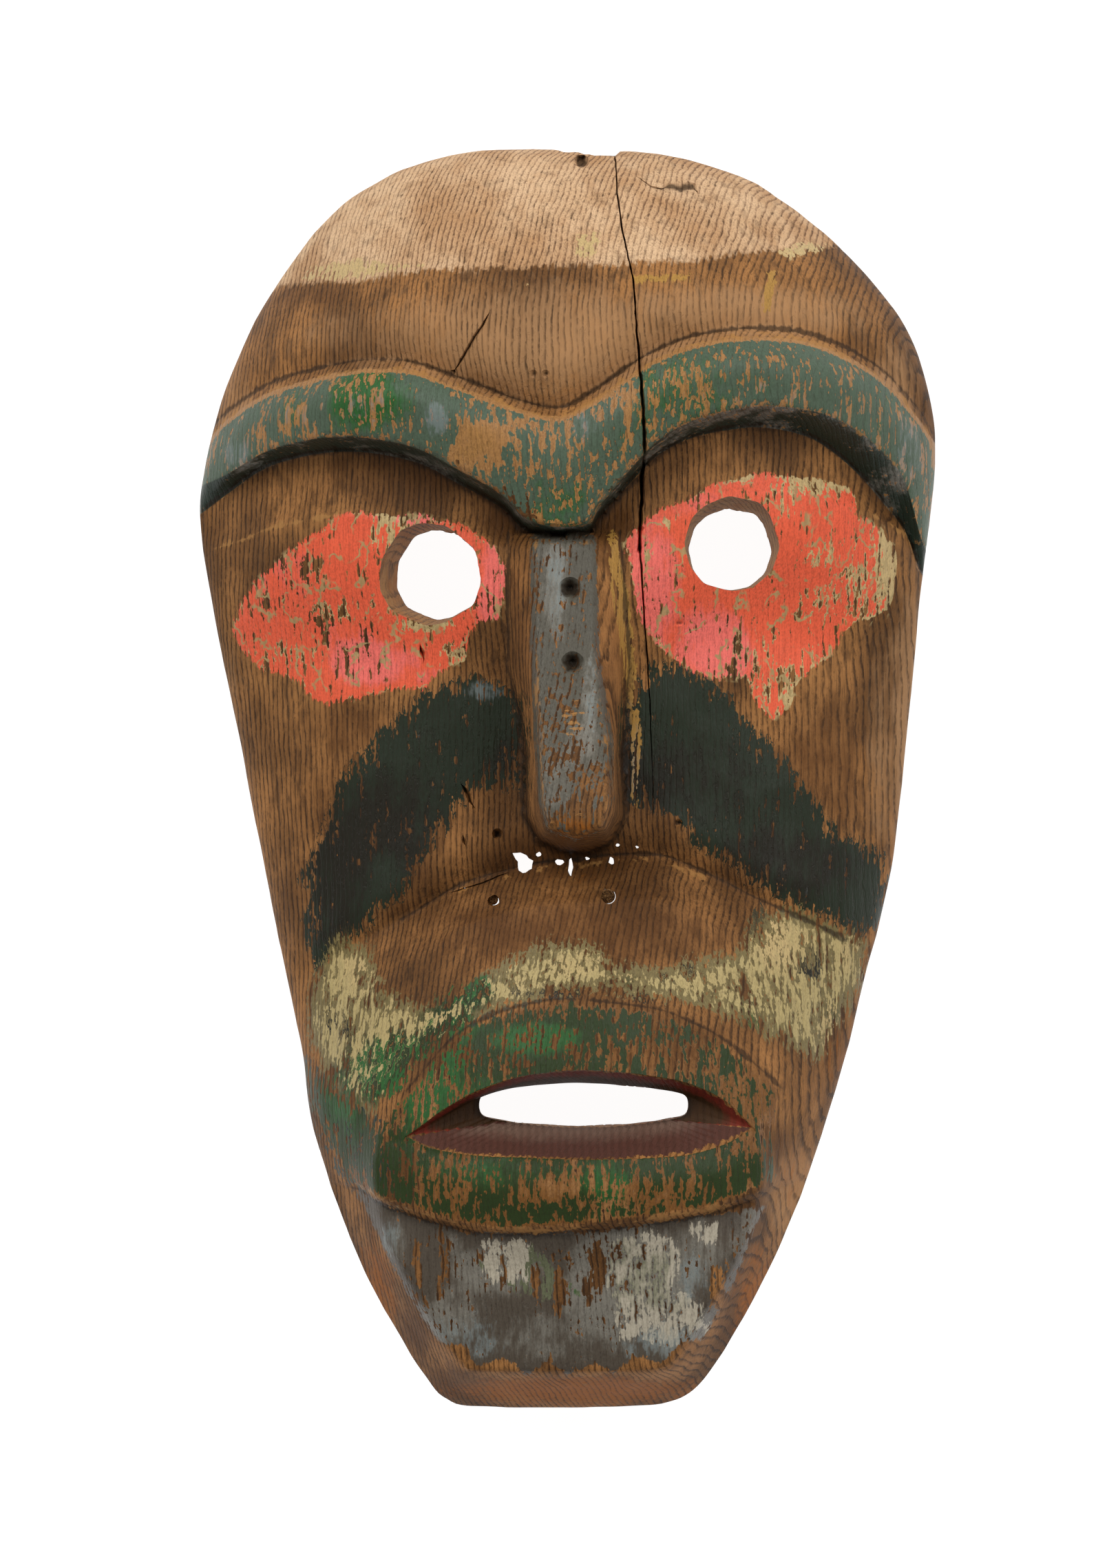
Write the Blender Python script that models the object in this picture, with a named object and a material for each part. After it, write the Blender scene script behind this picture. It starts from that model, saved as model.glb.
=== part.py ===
"""Painted wooden mask: one block of softwood, carved in front and hollowed behind, lying on its rim, face up.

+X is the viewer's right, +Y runs to the top of the forehead and +Z out of the face. The rim lies on z = 0.
The carving is drawn in shares of the mask's own size: percent of the half width across, percent of the
half height up, and percent of the depth for heights.
"""
import bmesh
import bpy
import numpy as np
from mathutils import Vector, kdtree
from mathutils.geometry import delaunay_2d_cdt

MM = 0.001

# Driving dimensions in millimetres
MASK_HEIGHT = 292.0
MASK_WIDTH = 171.5
MASK_DEPTH = 83.0
WALL = 10.0
RIM_WIDTH = 10.0
SIDE_TUCK = 1.6
SIDE_TUCK_HEIGHT = 9.0
LEFT_EYE_DIAMETER = 23.5
RIGHT_EYE_DIAMETER = 22.0
EYE_HOLE_TAPER = 1.4
MOUTH_SLOT_WIDTH = 48.0
MOUTH_SLOT_HEIGHT = 10.0
MOUTH_FUNNEL_DEPTH = 13.0
LEFT_PEG_HOLE_DIAMETER = 3.0
RIGHT_PEG_HOLE_DIAMETER = 3.6
PEG_CLEARANCE = 0.3
PEG_LENGTH = 8.0
LEFT_PEG_SINK = 1.6
RIGHT_PEG_SINK = 0.4
NAIL_PIT_DIAMETER = 5.4
NAIL_PIT_DEPTH = 4.5
NAIL_DIAMETER = 2.4
NAIL_BEVEL_DEPTH = 2.0
CRACK_WIDTH = 1.3
CRACK_DEPTH = 3.5

# Fineness of the faceted surface in millimetres
FRONT_FACET = 4.0
LINE_FACET = 3.6
BACK_FACET = 8.5
EDGE_POINTS = 132
EYE_POINTS = 24
MOUTH_POINTS = 16
SMALL_HOLE_POINTS = 10

# One percent of the half width, the half height and the depth
ACROSS = MASK_WIDTH / 200
UP = MASK_HEIGHT / 200
OUT = MASK_DEPTH / 100

# The mask's outline, seen from the front
OUTLINE = (
    (-4.7, 100.1), (19.8, 99.7), (30.1, 98.6), (49.1, 95.1), (66.0, 88.6), (79.9, 80.9), (88.9, 74.3),
    (94.9, 67.7), (98.4, 60.3), (99.9, 52.7), (98.2, 39.7), (94.8, 21.7), (91.4, 2.0), (86.8, -17.7),
    (78.4, -37.5), (68.8, -57.2), (55.6, -76.9), (43.3, -90.1), (35.7, -96.6), (28.0, -99.3),
    (16.3, -100.1), (-23.3, -100.1), (-33.0, -98.8), (-38.5, -95.2), (-44.1, -90.1), (-56.3, -76.9),
    (-68.3, -57.2), (-71.8, -44.0), (-76.7, -30.9), (-83.6, -11.2), (-90.1, 8.6), (-97.0, 28.3),
    (-100.1, 41.4), (-98.7, 49.3), (-93.5, 61.2), (-83.7, 74.3), (-65.7, 88.8), (-50.7, 95.1),
    (-36.7, 98.4), (-21.0, 99.9),
)

# The plain face under the carving, by height up the mask: its crown on the centre line, how far it falls
# away at half the width, the height of its edge above the rim, and how wide the edge rolls over
CROWN = (
    (-100, 60), (-92, 65), (-72, 69), (-51, 67.5), (-31, 62.7), (-14, 60.2), (0, 59), (14, 58), (31, 58),
    (48, 65), (65, 70), (82, 67.5), (100, 60),
)
FALL = ((-100, 9), (-72, 12), (-60, 20), (-35, 29), (0, 30), (40, 32), (100, 33))
EDGE = ((-100, 42), (-72, 42), (-58, 35), (-34, 26), (0, 21), (41, 21), (81, 23), (100, 26))
ROLL = ((-100, 11), (-67, 11), (-55, 19), (-41, 28), (-20, 31), (20, 33), (55, 40), (81, 51), (100, 54))
FLAT_BEVEL_FROM = -66
ROUND_ROLL_FROM = -50

# Lines of the carving, from left to right
BROW_TOP = (
    (-100.3, 51.7), (-92.1, 56.6), (-79.1, 61.0), (-60.4, 63.6), (-51.1, 64.0), (-41.7, 63.6),
    (-26.8, 60.6), (-13.8, 57.7), (-2.3, 56.4), (6.8, 58.9), (19.8, 64.1), (32.9, 67.5), (49.7, 69.0),
    (66.5, 68.1), (83.3, 63.6), (94.5, 57.1), (100.3, 52.1),
)
BROW_BOTTOM = (
    (-100.3, 46.2), (-92.1, 48.0), (-79.1, 51.8), (-60.4, 53.5), (-41.7, 51.8), (-28.7, 48.0),
    (-17.5, 44.2), (-11.9, 40.9), (-6.3, 39.5), (0.2, 39.2), (5.8, 39.8), (8.6, 42.5), (14.2, 46.4),
    (23.6, 52.4), (32.9, 55.7), (42.2, 57.3), (51.5, 58.2), (60.9, 57.9), (70.2, 56.8), (79.5, 54.0),
    (88.9, 49.1), (92.6, 44.7), (96.3, 37.6), (100.3, 34.2),
)
BROW_UNDERCUT = (
    (-100.3, 4.1), (-87.5, 2.1), (-58.3, 1.7), (-17.5, 1.5), (0.0, 1.0), (11.7, 1.4), (23.3, 1.7),
    (35.0, 2.1), (52.5, 2.7), (64.1, 3.4), (72.3, 4.8), (81.6, 6.5), (88.6, 7.5), (93.3, 6.2), (100.3, 2.7),
)
EYELID = (
    (-100.3, 35.6), (-88.4, 37.6), (-79.1, 39.6), (-60.4, 41.4), (-49.2, 40.7), (-38.0, 39.8),
    (-30.6, 39.0), (-23.1, 37.3), (-16.6, 36.0), (0.0, 35.6), (12.4, 36.5), (18.0, 38.7), (27.6, 40.1),
    (44.4, 44.2), (61.0, 44.7), (70.0, 43.2), (81.9, 41.6), (87.9, 39.9), (94.9, 37.4), (100.3, 34.9),
)
CREASE = (
    (-100.3, -42.5), (-79.3, -34.2), (-60.4, -27.6), (-41.7, -21.5), (-31.1, -17.7), (-23.9, -16.0),
    (-8.2, -13.6), (1.2, -13.2), (10.5, -12.4), (21.2, -12.2), (28.3, -12.9), (41.4, -16.3),
    (51.0, -19.2), (70.2, -24.3), (85.1, -29.5), (100.3, -34.9),
)
LIP_ROLL = (
    (-100.3, -65.8), (-58.3, -57.5), (-43.6, -49.5), (-32.4, -41.8), (-23.1, -38.0), (-13.8, -36.0),
    (-4.4, -34.9), (4.9, -34.9), (23.6, -36.4), (32.9, -38.4), (42.2, -41.3), (51.5, -45.7),
    (59.0, -50.1), (67.6, -56.2), (100.3, -64.4),
)
MOUTH_TOP = (
    (-43.3, -56.4), (-38.0, -54.1), (-32.4, -51.7), (-23.1, -48.8), (-13.8, -47.0), (-4.4, -46.2),
    (4.9, -45.9), (14.2, -46.2), (23.6, -46.9), (32.9, -48.1), (42.2, -50.8), (50.0, -55.2),
)
MOUTH_BOTTOM = (
    (-43.3, -56.4), (-38.0, -58.1), (-32.4, -58.8), (-23.1, -59.4), (4.9, -59.9), (23.6, -59.6),
    (32.9, -59.2), (42.2, -57.7), (50.0, -55.2),
)
LIP_BOTTOM = (
    (-100.3, -67.8), (-70.0, -64.4), (-57.6, -64.0), (-51.1, -65.8), (-41.7, -67.9), (-25.0, -70.5),
    (-13.8, -70.8), (4.9, -70.3), (23.6, -69.0), (42.2, -67.0), (57.1, -64.0), (70.0, -63.0),
    (100.3, -66.4),
)
CRACK = (
    (12.7, 98.3), (13.3, 91.8), (14.7, 85.8), (17.5, 77.6), (18.9, 68.8), (19.8, 62.3), (20.8, 53.4),
    (19.8, 44.7), (19.4, 36.0), (20.8, 25.0), (21.7, 15.7), (22.6, 3.1), (23.0, -5.7),
)

# The nose, a long slab: its foot on the face, its flat front, and the height of its back up the mask
NOSE_FOOT = (
    (-15.9, 38.5), (-15.9, 17.1), (-12.5, 9.3), (-11.2, 3.4), (-10.8, -6.4), (-7.6, -10.1), (-2.3, -11.6),
    (4.7, -12.1), (11.1, -10.7), (15.2, -6.4), (14.6, 3.4), (16.8, 17.1), (14.2, 38.5),
)
NOSE_FACE = (
    (-8.4, 37.3), (-8.4, 19.2), (-7.5, 7.3), (-6.5, -3.4), (-4.7, -8.0), (2.3, -9.4), (9.3, -8.1),
    (11.2, -3.4), (10.8, 5.3), (7.1, 19.2), (6.2, 37.3),
)
NOSE_RIDGE = ((-12, 90), (-9, 98), (-6, 100), (-2, 98), (7, 90.5), (17, 82), (27.5, 75), (38, 69))

# Heights of the carving over the plain face
FOREHEAD = 9.6
GROOVE = 5.2
BROW_EDGE = 10.0
BROW_CREST = 14.6
BROW_LIP = 13.8
SOCKET = -2.4
EYELID_EDGE = 3.8
EYEBALL = 6.4
CREASE_DEPTH = -6.0
MOUND = 19.3
LIP_STEP = 5.0
CHIN = 8.4

# Shares of the crease's depth and of the mound's height that the carving reaches on its way
CREASE_BRINK = 0.2
CREASE_AT_SIDES = 0.4
LIP_RISE_PLACE = 0.3
LIP_RISE = 0.55
UPPER_LIP_EDGE = 0.93
LOWER_LIP_EDGE = 0.97
LOWER_LIP_CREST = 1.02
LOWER_LIP_FOOT = 0.88
CHIN_FOOT_SHARE = 0.8

# Reach of the carving up and down the mask, and the half width of the mound that carries the lips
GROOVE_ROLL = 10.0
GROOVE_GAP = 1.6
EYEBALL_DROP = 8.0
EYE_SOCKET_END = 24.0
CREASE_REACH = 6.5
STEP_REACH = 0.9
CHIN_TOP = -78.0
CHIN_FOOT = -93.0
MOUND_SPREAD = 70.0

# Places of the holes, and the largest piece that has broken out of the crease under the nose
LEFT_EYE = (-37.0, 31.8)
RIGHT_EYE = (44.5, 36.7)
LEFT_EYE_BACK = (-34.3, 31.9)
RIGHT_EYE_BACK = (44.1, 36.0)
MOUTH_SLOT = (4.4, -51.6)
LEFT_PEG = (-19.8, -19.5)
RIGHT_PEG = (11.0, -18.8)
NAIL_PITS = ((0.7, 29.5), (1.4, 17.8))
BREAK = (
    (-14.7, -12.1), (-13.3, -13.4), (-13.1, -14.8), (-11.2, -15.1), (-9.6, -14.5), (-9.2, -13.3),
    (-10.4, -12.9), (-12.6, -12.0),
)

# The hollow behind: how wide its own edge rolls, what follows the front, and the pocket behind the nose
HOLLOW_ROLL = 18.0
HOLLOW_FOREHEAD = 6.0
HOLLOW_FOREHEAD_REACH = 30.0
HOLLOW_MOUTH = 6.5
HOLLOW_MOUTH_PLACE = -52.0
HOLLOW_MOUTH_REACH = 26.0
HOLLOW_MOUTH_SPREAD = 60.0
NOSE_POCKET = 4.2
NOSE_POCKET_PLACE = (2.0, -12.0)
NOSE_POCKET_SIZE = (26.0, 9.0)


def drawn(points):
    """Turn shares of the mask's size into millimetres."""
    return np.asarray(points, float) * (ACROSS, UP)


def by_height(table, scale):
    """A value for each height up the mask, as a smooth line of (height, value) in millimetres."""
    return spline(np.asarray(table, float) * (UP, scale))


def spline(points, closed=False, steps=10):
    """A smooth line that passes through the points."""
    points = np.asarray(points, float)
    if closed:
        ends = np.vstack([points[-1], points, points[0], points[1]])
    else:
        ends = np.vstack([2 * points[0] - points[1], points, 2 * points[-1] - points[-2]])
    t = np.linspace(0, 1, steps, endpoint=False)[:, None]
    parts = []
    for a, b, c, d in zip(ends, ends[1:], ends[2:], ends[3:]):
        bend = (2 * a - 5 * b + 4 * c - d) * t ** 2 + (3 * b - a - 3 * c + d) * t ** 3
        parts.append((2 * b + (c - a) * t + bend) / 2)
    if not closed:
        parts.append(points[-1:])
    return np.vstack(parts)


def evenly(line, facet=None, count=None, closed=False):
    """Points at even steps along a line."""
    if closed:
        line = np.vstack([line, line[:1]])
    travel = np.concatenate([[0], np.cumsum(np.linalg.norm(np.diff(line, axis=0), axis=1))])
    if count is None:
        count = max(int(round(travel[-1] / facet)), 2)
    stops = np.linspace(0, travel[-1], count if closed else count + 1, endpoint=not closed)
    return np.column_stack([np.interp(stops, travel, line[:, 0]), np.interp(stops, travel, line[:, 1])])


def at(line, x):
    """The second value of a line where its first is x."""
    return np.interp(x, line[:, 0], line[:, 1])


def distance(points, line, closed=False):
    """How far each point lies from a line."""
    line = np.asarray(line)
    starts = line if closed else line[:-1]
    runs = (np.roll(line, -1, axis=0) if closed else line[1:]) - starts
    away = points[:, None] - starts[None]
    share = np.clip((away * runs).sum(2) / (runs ** 2).sum(1), 0, 1)
    return np.linalg.norm(away - share[..., None] * runs, axis=2).min(axis=1)


def inside(points, loop):
    """Which points lie inside a closed loop."""
    loop = np.asarray(loop)
    x, y = points[:, :1], points[:, 1:]
    x1, y1 = loop.T
    x2, y2 = np.roll(loop, -1, axis=0).T
    level = y2 == y1
    crossing = (y1 > y) != (y2 > y)
    reach = x1 + (y - y1) * (x2 - x1) / np.where(level, 1, y2 - y1)
    return (crossing & (x < reach)).sum(axis=1) % 2 == 1


def circle(centre, diameter, count):
    """A round loop, counted anticlockwise."""
    angles = 2 * np.pi * np.arange(count) / count
    return centre + diameter / 2 * np.column_stack([np.cos(angles), np.sin(angles)])


def inset(loop, width):
    """The same loop drawn further in."""
    along = np.roll(loop, -1, axis=0) - np.roll(loop, 1, axis=0)
    along /= np.linalg.norm(along, axis=1)[:, None]
    return loop + width * np.column_stack([-along[:, 1], along[:, 0]])


def softened(loop, rounds=3):
    """The same loop with its tight bends eased."""
    for _ in range(rounds):
        loop = (np.roll(loop, 1, axis=0) + 2 * loop + np.roll(loop, -1, axis=0)) / 4
    return loop


def ease(u):
    """A slope that starts and ends level."""
    return u * u * (3 - 2 * u)


def straight(u):
    """A slope of one pitch."""
    return u


def rounded(u):
    """A slope that starts steep and ends level."""
    return np.sqrt(1 - (1 - u) ** 2)


def swelling(u):
    """A slope that starts at a pitch and ends level."""
    return np.sin(np.pi / 2 * u)


def hollowed(u):
    """A slope that starts level and ends at a pitch."""
    return u ** 2


def outline_loop():
    """The outline, at the mask's width and height and centred on the origin, counted anticlockwise."""
    loop = spline(drawn(OUTLINE), closed=True)[::-1]
    middle = (loop.max(axis=0) + loop.min(axis=0)) / 2
    size = loop.max(axis=0) - loop.min(axis=0)
    loop = (loop - middle) * (MASK_WIDTH, MASK_HEIGHT) / size
    return evenly(loop, count=EDGE_POINTS, closed=True)


def mouth_opening():
    """The edge of the lips around the mouth: the upper lip from left to right, then the lower one back."""
    top, bottom = spline(drawn(MOUTH_TOP)), spline(drawn(MOUTH_BOTTOM))
    share = (1 - np.cos(np.pi * np.arange(MOUTH_POINTS + 1) / MOUTH_POINTS)) / 2
    x = top[0, 0] + (top[-1, 0] - top[0, 0]) * share
    upper = np.column_stack([x, at(top, x)])
    lower = np.column_stack([x, at(bottom, x)])[-2:0:-1]
    return np.vstack([upper, lower])


def mouth_slot():
    """The slot cut through the wood inside the mouth, point for point with the edge of the lips."""
    centre = drawn(MOUTH_SLOT)
    u = -np.cos(np.pi * np.arange(MOUTH_POINTS + 1) / MOUTH_POINTS)
    corner = np.sqrt(1 - u ** 10)
    arch = 1 - 0.3 * u ** 2
    x = centre[0] + MOUTH_SLOT_WIDTH / 2 * u
    upper = np.column_stack([x, centre[1] + MOUTH_SLOT_HEIGHT / 2 * corner * arch])
    lower = np.column_stack([x, centre[1] - MOUTH_SLOT_HEIGHT / 2 * corner * arch])[-2:0:-1]
    return np.vstack([upper, lower])


OUTER_EDGE = outline_loop()
INNER_EDGE = softened(inset(OUTER_EDGE, RIM_WIDTH))
LINES = {
    "brow top": spline(drawn(BROW_TOP)),
    "brow bottom": spline(drawn(BROW_BOTTOM)),
    "brow undercut": spline(drawn(BROW_UNDERCUT)),
    "eyelid": spline(drawn(EYELID)),
    "crease": spline(drawn(CREASE)),
    "lip roll": spline(drawn(LIP_ROLL)),
    "mouth top": spline(drawn(MOUTH_TOP)),
    "mouth bottom": spline(drawn(MOUTH_BOTTOM)),
    "lip bottom": spline(drawn(LIP_BOTTOM)),
    "crack": spline(drawn(CRACK)),
}
FACE_CROWN = by_height(CROWN, OUT)
FACE_FALL = by_height(FALL, OUT)
FACE_EDGE = by_height(EDGE, OUT)
FACE_ROLL = by_height(ROLL, ACROSS)
NOSE_HEIGHT = by_height(NOSE_RIDGE, OUT)
FOOT_OF_NOSE = drawn(NOSE_FOOT)
FACE_OF_NOSE = drawn(NOSE_FACE)


def carving_lines(x):
    """The carving from the forehead down to the chin: the place of each line across the mask at x, the
    carving's height there, and the slope that leads down to it."""
    brow_top = at(LINES["brow top"], x)
    brow_bottom = at(LINES["brow bottom"], x)
    eyelid = at(LINES["eyelid"], x)
    crease = at(LINES["crease"], x)
    roll = at(LINES["lip roll"], x)
    mouth_top = at(LINES["mouth top"], x)
    mouth_bottom = at(LINES["mouth bottom"], x)
    lip_bottom = at(LINES["lip bottom"], x)
    spread = np.clip(1 - (x / (MOUND_SPREAD * ACROSS)) ** 2, 0, 1)
    mound = MOUND * spread
    foot = LOWER_LIP_FOOT * mound
    crease_depth = CREASE_DEPTH * (CREASE_AT_SIDES + (1 - CREASE_AT_SIDES) * spread)
    lip_rise = crease_depth + LIP_RISE * (mound - crease_depth)
    chin = CHIN * (1 - (x / (100 * ACROSS)) ** 2)
    return (
        (brow_top + GROOVE_ROLL * UP, FOREHEAD, straight),
        (brow_top + GROOVE_GAP * UP, GROOVE, hollowed),
        (brow_top, BROW_EDGE, straight),
        (0.5 * brow_top + 0.5 * brow_bottom, BROW_CREST, swelling),
        (brow_bottom, BROW_LIP, ease),
        (brow_bottom - at(LINES["brow undercut"], x), SOCKET, straight),
        (eyelid, EYELID_EDGE, hollowed),
        (eyelid - EYEBALL_DROP * UP, EYEBALL, swelling),
        (eyelid - EYE_SOCKET_END * UP, 0, ease),
        (crease + CREASE_REACH * UP, CREASE_BRINK * crease_depth, ease),
        (crease, crease_depth, hollowed),
        (crease + LIP_RISE_PLACE * (roll - crease), lip_rise, straight),
        (roll, UPPER_LIP_EDGE * mound, straight),
        (mouth_top, mound, swelling),
        (mouth_bottom, LOWER_LIP_EDGE * mound, straight),
        (0.6 * mouth_bottom + 0.4 * lip_bottom, LOWER_LIP_CREST * mound, swelling),
        (lip_bottom, foot, ease),
        (lip_bottom - STEP_REACH * UP, foot - LIP_STEP, straight),
        (CHIN_TOP * UP + 0 * x, chin, ease),
        (CHIN_FOOT * UP + 0 * x, CHIN_FOOT_SHARE * chin, straight),
    )


def carving(x, y):
    """Height of the carving over the plain face."""
    lines = carving_lines(x)
    place, height, _ = lines[0]
    total = np.full_like(x, height)
    for next_place, next_height, slope in lines[1:]:
        next_place = np.minimum(next_place, place - 0.3)
        share = np.clip((place - y) / (place - next_place), 0, 1)
        total = total + (next_height - height) * slope(share)
        place, height = next_place, next_height
    return total * OUT


def edge_roll(y, away):
    """How much of the full height is reached this far from the outline: a round roll, flat at the chin."""
    share = np.clip(away / at(FACE_ROLL, y), 0, 1)
    bevelled = np.clip((ROUND_ROLL_FROM * UP - y) / ((ROUND_ROLL_FROM - FLAT_BEVEL_FROM) * UP), 0, 1)
    return rounded(share) * (1 - bevelled) + share * bevelled


def plain_face(x, y):
    """The full height of the face before its edge is rolled and before it is carved."""
    return at(FACE_CROWN, y) - at(FACE_FALL, y) * (x / (100 * ACROSS)) ** 2


def face_height(points):
    """Height of the carved face without the nose."""
    x, y = points.T
    edge = at(FACE_EDGE, y)
    full = plain_face(x, y) + carving(x, y)
    height = edge + (full - edge) * edge_roll(y, distance(points, OUTER_EDGE, closed=True))
    gap = distance(points, LINES["crack"])
    return height - CRACK_DEPTH * np.clip(1 - 2 * gap / CRACK_WIDTH, 0, 1)


def front_height(points):
    """Height of the whole front: the face, the nose that stands on it and the two nail pits in the nose."""
    height = face_height(points)
    on_nose = inside(points, FOOT_OF_NOSE)
    on_front = inside(points, FACE_OF_NOSE)
    from_foot = distance(points, FOOT_OF_NOSE, closed=True)
    from_front = distance(points, FACE_OF_NOSE, closed=True)
    climb = np.where(on_front, 1, from_foot / (from_foot + from_front + 1e-9)) * on_nose
    height = height + climb * (at(NOSE_HEIGHT, points[:, 1]) - height)
    for pit in drawn(NAIL_PITS):
        away = np.linalg.norm(points - pit, axis=1)
        bevel = np.clip((NAIL_PIT_DIAMETER / 2 - away) / ((NAIL_PIT_DIAMETER - NAIL_DIAMETER) / 2), 0, 1)
        core = np.clip(1 - 2 * away / NAIL_DIAMETER, 0, 1)
        height = height - NAIL_BEVEL_DEPTH * bevel - (NAIL_PIT_DEPTH - NAIL_BEVEL_DEPTH) * core
    return height


def back_height(points):
    """Height of the hollow behind, which follows the face at a wall's thickness."""
    x, y = points.T
    brow = np.clip((y - at(LINES["eyelid"], x)) / (HOLLOW_FOREHEAD_REACH * UP), 0, 1)
    mouth = np.exp(-((y / UP - HOLLOW_MOUTH_PLACE) / HOLLOW_MOUTH_REACH) ** 2)
    mouth = mouth * np.clip(1 - (x / (HOLLOW_MOUTH_SPREAD * ACROSS)) ** 2, 0, 1)
    pocket = np.exp(-(((points - drawn(NOSE_POCKET_PLACE)) / drawn(NOSE_POCKET_SIZE)) ** 2).sum(axis=1))
    roll = rounded(np.clip(distance(points, INNER_EDGE, closed=True) / (HOLLOW_ROLL * ACROSS), 0, 1))
    full = plain_face(x, y) - WALL
    full += OUT * (HOLLOW_FOREHEAD * ease(brow) + HOLLOW_MOUTH * mouth + NOSE_POCKET * pocket)
    return full * roll


def spaced(points, kept, gap):
    """The points that lie at least a gap from all that are kept."""
    tree = kdtree.KDTree(len(kept))
    for index, point in enumerate(kept):
        tree.insert((point[0], point[1], 0), index)
    tree.balance()
    return np.array([p for p in points if tree.find((p[0], p[1], 0))[2] > gap]).reshape(-1, 2)


def lattice(loop, facet):
    """A triangular lattice of points over the inside of a loop."""
    low, high = loop.min(axis=0), loop.max(axis=0)
    rows = []
    for row, y in enumerate(np.arange(low[1], high[1], facet * np.sqrt(0.75))):
        x = np.arange(low[0] + facet / 2 * (row % 2), high[0], facet)
        rows.append(np.column_stack([x, np.full_like(x, y)]))
    points = np.vstack(rows)
    return points[inside(points, loop)]


def clipped(line, edge, holes, margin):
    """The runs of a line that stay inside the edge and clear of the holes."""
    keep = inside(line, edge) & (distance(line, edge, closed=True) > margin)
    for hole in holes:
        keep &= ~inside(line, hole) & (distance(line, hole, closed=True) > margin)
    runs = np.split(np.arange(len(line)), np.nonzero(np.diff(keep.astype(int)))[0] + 1)
    return [line[run] for run in runs if keep[run[0]] and len(run) > 1]


def sheet(edge, holes, lines, rings, facet):
    """Triangles over the inside of the edge and round the holes, with an edge along each line. Gives the
    points, the triangles, and where the edge and each hole are among the points."""
    points = [edge] + list(holes)
    loops = []
    edges = []
    first = 0
    for loop in points:
        numbers = list(range(first, first + len(loop)))
        loops.append(numbers)
        edges += list(zip(numbers, numbers[1:] + numbers[:1]))
        first += len(loop)
    for line in lines:
        edges += [(first + i, first + i + 1) for i in range(len(line) - 1)]
        points.append(line)
        first += len(line)
    fixed = np.vstack(points)
    for width in rings:
        ring = softened(inset(edge, width), 1)
        fixed = np.vstack([fixed, spaced(ring, fixed, width * 0.3)])
    fill = spaced(lattice(inset(edge, rings[-1] + facet / 2), facet), fixed, facet * 0.62)
    plan = np.vstack([fixed, fill])
    result = delaunay_2d_cdt([Vector(p) for p in plan], edges, [], 0, 1e-5)
    plan = np.array([tuple(v) for v in result[0]])
    triangles = np.array([tuple(face) for face in result[2]])
    middles = plan[triangles].mean(axis=1)
    keep = inside(middles, edge)
    for hole in holes:
        keep &= ~inside(middles, hole)
    place = {}
    for number, sources in enumerate(result[3]):
        for source in sources:
            place[source] = number
    return plan, triangles[keep], [[place[i] for i in loop] for loop in loops]


def band(lower, upper):
    """Quads between two loops of as many points."""
    after_lower = lower[1:] + lower[:1]
    after_upper = upper[1:] + upper[:1]
    return [list(corners) for corners in zip(lower, after_lower, after_upper, upper)]


def add_object(name, vertices, faces, colour, roughness):
    """A named object made of one closed mesh, with a painted or bare wood material of its own."""
    mesh = bpy.data.meshes.new(name)
    mesh.from_pydata([tuple(v) for v in vertices], [], faces)
    solid = bmesh.new()
    solid.from_mesh(mesh)
    loose = [v for v in solid.verts if not v.link_faces]
    bmesh.ops.delete(solid, geom=loose, context="VERTS")
    bmesh.ops.recalc_face_normals(solid, faces=solid.faces)
    solid.to_mesh(mesh)
    solid.free()
    material = bpy.data.materials.new(name + "_wood")
    material.use_nodes = True
    shader = material.node_tree.nodes["Principled BSDF"]
    shader.inputs["Base Color"].default_value = colour
    shader.inputs["Roughness"].default_value = roughness
    shader.inputs["Metallic"].default_value = 0.0
    mesh.materials.append(material)
    thing = bpy.data.objects.new(name, mesh)
    bpy.context.collection.objects.link(thing)
    return thing


def carved_lines(holes):
    """The lines that get an edge of their own in the front, cut short of the outline and of the holes. Both
    edges of a step have their points at the same places across."""
    drops = {
        "brow top": lambda x: (0 * x, GROOVE_GAP * UP + 0 * x),
        "brow bottom": lambda x: (0 * x, -at(LINES["brow undercut"], x)),
        "eyelid": lambda x: (0 * x,),
        "crease": lambda x: (0 * x,),
        "lip roll": lambda x: (0 * x,),
        "lip bottom": lambda x: (0 * x, -STEP_REACH * UP + 0 * x),
    }
    runs = []
    for name, steps in drops.items():
        main = evenly(LINES[name], facet=LINE_FACET)
        for step in steps(main[:, 0]):
            line = main + np.column_stack([0 * step, step])
            runs += clipped(line, OUTER_EDGE, list(holes) + [FOOT_OF_NOSE], LINE_FACET / 3)
    return runs


def chin_bevel():
    """The line where the flat bevel round the chin meets the face."""
    width = at(FACE_ROLL, FLAT_BEVEL_FROM * UP)
    ring = inset(OUTER_EDGE, width)
    low = (ring[:, 1] < FLAT_BEVEL_FROM * UP) & (distance(ring, OUTER_EDGE, closed=True) > 0.98 * width)
    start = np.nonzero(low & ~np.roll(low, 1))[0][0]
    ring = np.roll(ring, -start, axis=0)
    return ring[np.roll(low, -start)]


def crack_lines():
    """The two lips and the bottom of the long crack."""
    middle = evenly(LINES["crack"], facet=LINE_FACET * 1.5)
    side = (CRACK_WIDTH / 2, 0)
    return [middle - side, middle, middle + side]


def closed(loop):
    """A loop as a line that ends where it starts."""
    return np.vstack([loop, loop[:1]])


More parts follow.
